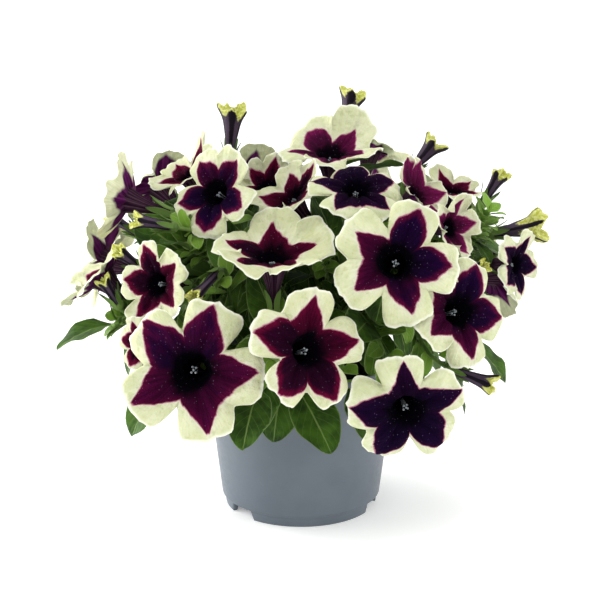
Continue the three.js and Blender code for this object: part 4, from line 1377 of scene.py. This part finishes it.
def pot_shell():
    """The profile swept round; the foot ring is lifted to the step in each notch."""
    radius, height = np.array(POT_PROFILE).T[:, :, None] * np.ones(POT_TURNS)
    azimuth = np.linspace(0, 360, POT_TURNS, endpoint=False)
    foot = (radius < FOOT_RADIUS) & (height < NOTCH["height"])
    for centre in NOTCH["azimuths"]:
        away = np.abs((azimuth - centre + 180) % 360 - 180)
        lifted = NOTCH["height"] * np.clip((NOTCH["half"] - away) / NOTCH["slope"], 0, 1)
        height = np.where(foot, np.maximum(height, lifted), height)
    a = np.radians(azimuth)
    shell = Shell()
    ring = np.stack([radius * np.sin(a), -radius * np.cos(a), height], axis=-1)
    shell.grid(ring, FIRST, True, True)
    return shell


add_piece(pot_shell(), "pot_moulded", [POT_MATERIAL], "pot")
print("pot:", 2 * max(radius for radius, _ in POT_PROFILE), "mm wide")

# %% [markdown]
# ## The potting mix
# Under the leaves lies a rough dome of crumbs. Three sizes of lumps, each a product or sum of
# sines, give its form, and the material gives the grain.

# %% Potting mix
MIX = {"radius": 54.0, "top": 82.6, "fall": 4.0, "rings": 50, "turns": 160}


def mix_shell():
    """A domed disc, its height a square fall to the edge plus lumps."""
    turns = np.radians(np.linspace(0, 360, MIX["turns"], endpoint=False))
    share, azimuth = np.meshgrid(np.linspace(0, 1, MIX["rings"]), turns, indexing="ij")
    x, y = MIX["radius"] * share * np.sin(azimuth), -MIX["radius"] * share * np.cos(azimuth)
    lumps = 0.9 * np.sin(0.61 * x + 1) * np.sin(0.53 * y) + 0.6 * np.sin(1.7 * x + 0.9 * y)
    lumps = lumps + 0.5 * np.sin(2.9 * y - 1.3 * x)
    height = MIX["top"] - MIX["fall"] * share**2 + 0.8 * lumps
    shell = Shell()
    shell.grid(np.stack([x, y, height], axis=-1), FIRST, True, True)
    return shell


add_piece(mix_shell(), "soil_crumbs", [MIX_MATERIAL], "soil")
print("faces in all:", sum(len(mesh.polygons) for mesh in bpy.data.meshes))

# %% [markdown]
# ## Floor and wall
# A pale floor that runs up into a pale wall, as the paper sweep in a photographer's studio.
# One strip does it: flat, a quarter round, then upright, so no line shows behind the plant.

# %% Paper sweep
def paper_recipe(tree, add, grain):
    """Two whites in broad clouds."""
    fibre = add("TexNoise", grain(60))
    return {"Base Color": paint(tree, "#fdfdfd", (fibre, 0.3, 0.7, 1.0, "#f9f9f9"))}


turn = np.linspace(0, np.pi / 2, 14)
sweep_y = np.concatenate([[-3.0], 1.6 + 0.8 * np.sin(turn), [2.4]])
sweep_z = np.concatenate([[0.0], 0.8 - 0.8 * np.cos(turn), [3.2]])
points = [(x, y, z) for y, z in zip(sweep_y, sweep_z) for x in (-3.5, 0.0, 3.5)]
corners = [3 * row + side for row in range(len(sweep_y) - 1) for side in (0, 1)]
faces = [(i, i + 1, i + 4, i + 3) for i in corners]
sweep_mesh = bpy.data.meshes.new("studio_sweep")
sweep_mesh.from_pydata(points, [], faces)
sweep_mesh.shade_smooth()
# The paper lies on a faintly lit table, so the shadow under the plant stays pale
paper = make_material(
    "studio_paper", paper_recipe, Roughness=0.95, Specular_IOR_Level=0.1, Emission_Strength=0.25,
)
sweep_mesh.materials.append(paper)
sweep = bpy.data.objects.new("studio_sweep", sweep_mesh)
bpy.context.scene.collection.objects.link(sweep)
print("sweep:", len(sweep_mesh.polygons), "faces")

# %% [markdown]
# ## Light
# A broad soft light over the front from the left, a fill on the right, two low lights on the
# left that draw a pale edge down the pot, a weak one from above, and an even white sky, as in a
# catalogue photograph.

# %% Lights
PLANT_MIDDLE = Vector((0, 0, 0.12))


def area_light(name, position, size, power):
    """A square soft light at a place, aimed at the middle of the plant."""
    lamp = bpy.data.lights.new(name, "AREA")
    lamp.size = size
    lamp.energy = power
    made = bpy.data.objects.new(name, lamp)
    made.location = position
    made.rotation_euler = (PLANT_MIDDLE - Vector(position)).to_track_quat("-Z", "Y").to_euler()
    bpy.context.scene.collection.objects.link(made)


area_light("key_light", (-0.7, -1.1, 1.5), 1.2, 8)
area_light("fill_light", (1.4, -0.3, 0.4), 1.0, 7)
area_light("side_light", (-1.2, 0.1, 0.3), 1.0, 12)
area_light("edge_light", (-1.0, 0.6, 0.25), 0.6, 9)
area_light("top_light", (0.1, 0.4, 1.9), 1.4, 6)
world = bpy.data.worlds.new("studio_sky")
bpy.context.scene.world = world
world.use_nodes = True
sky = world.node_tree.nodes["Background"].inputs
sky["Color"].default_value = colour("#ffffff")
sky["Strength"].default_value = 0.95
print("lights:", len(bpy.data.lights))

# %% [markdown]
# ## Camera
# The camera stands 0.88 m in front of the pot and 0.36 m up, and looks 15 degrees down through
# a long lens. A tall pot and its foot ring show how far it looks down: the ellipse of the foot
# is 0.38 as high as it is wide.

# %% Camera
LOOK_DOWN = 15.3
PICTURE_WIDTH = 600
FOCAL_PIXELS = 1562
SENSOR = 36
camera = bpy.data.objects.new("camera", bpy.data.cameras.new("camera"))
camera.location = (0, -0.878, 0.3635)
camera.rotation_euler = (np.radians(90 - LOOK_DOWN), 0, 0)
camera.data.sensor_width = SENSOR
camera.data.lens = SENSOR * FOCAL_PIXELS / PICTURE_WIDTH
camera.data.shift_x = -1 / PICTURE_WIDTH
bpy.context.scene.collection.objects.link(camera)
bpy.context.scene.camera = camera
bpy.context.scene.view_settings.view_transform = "Standard"
print("lens:", round(camera.data.lens, 1), "mm")
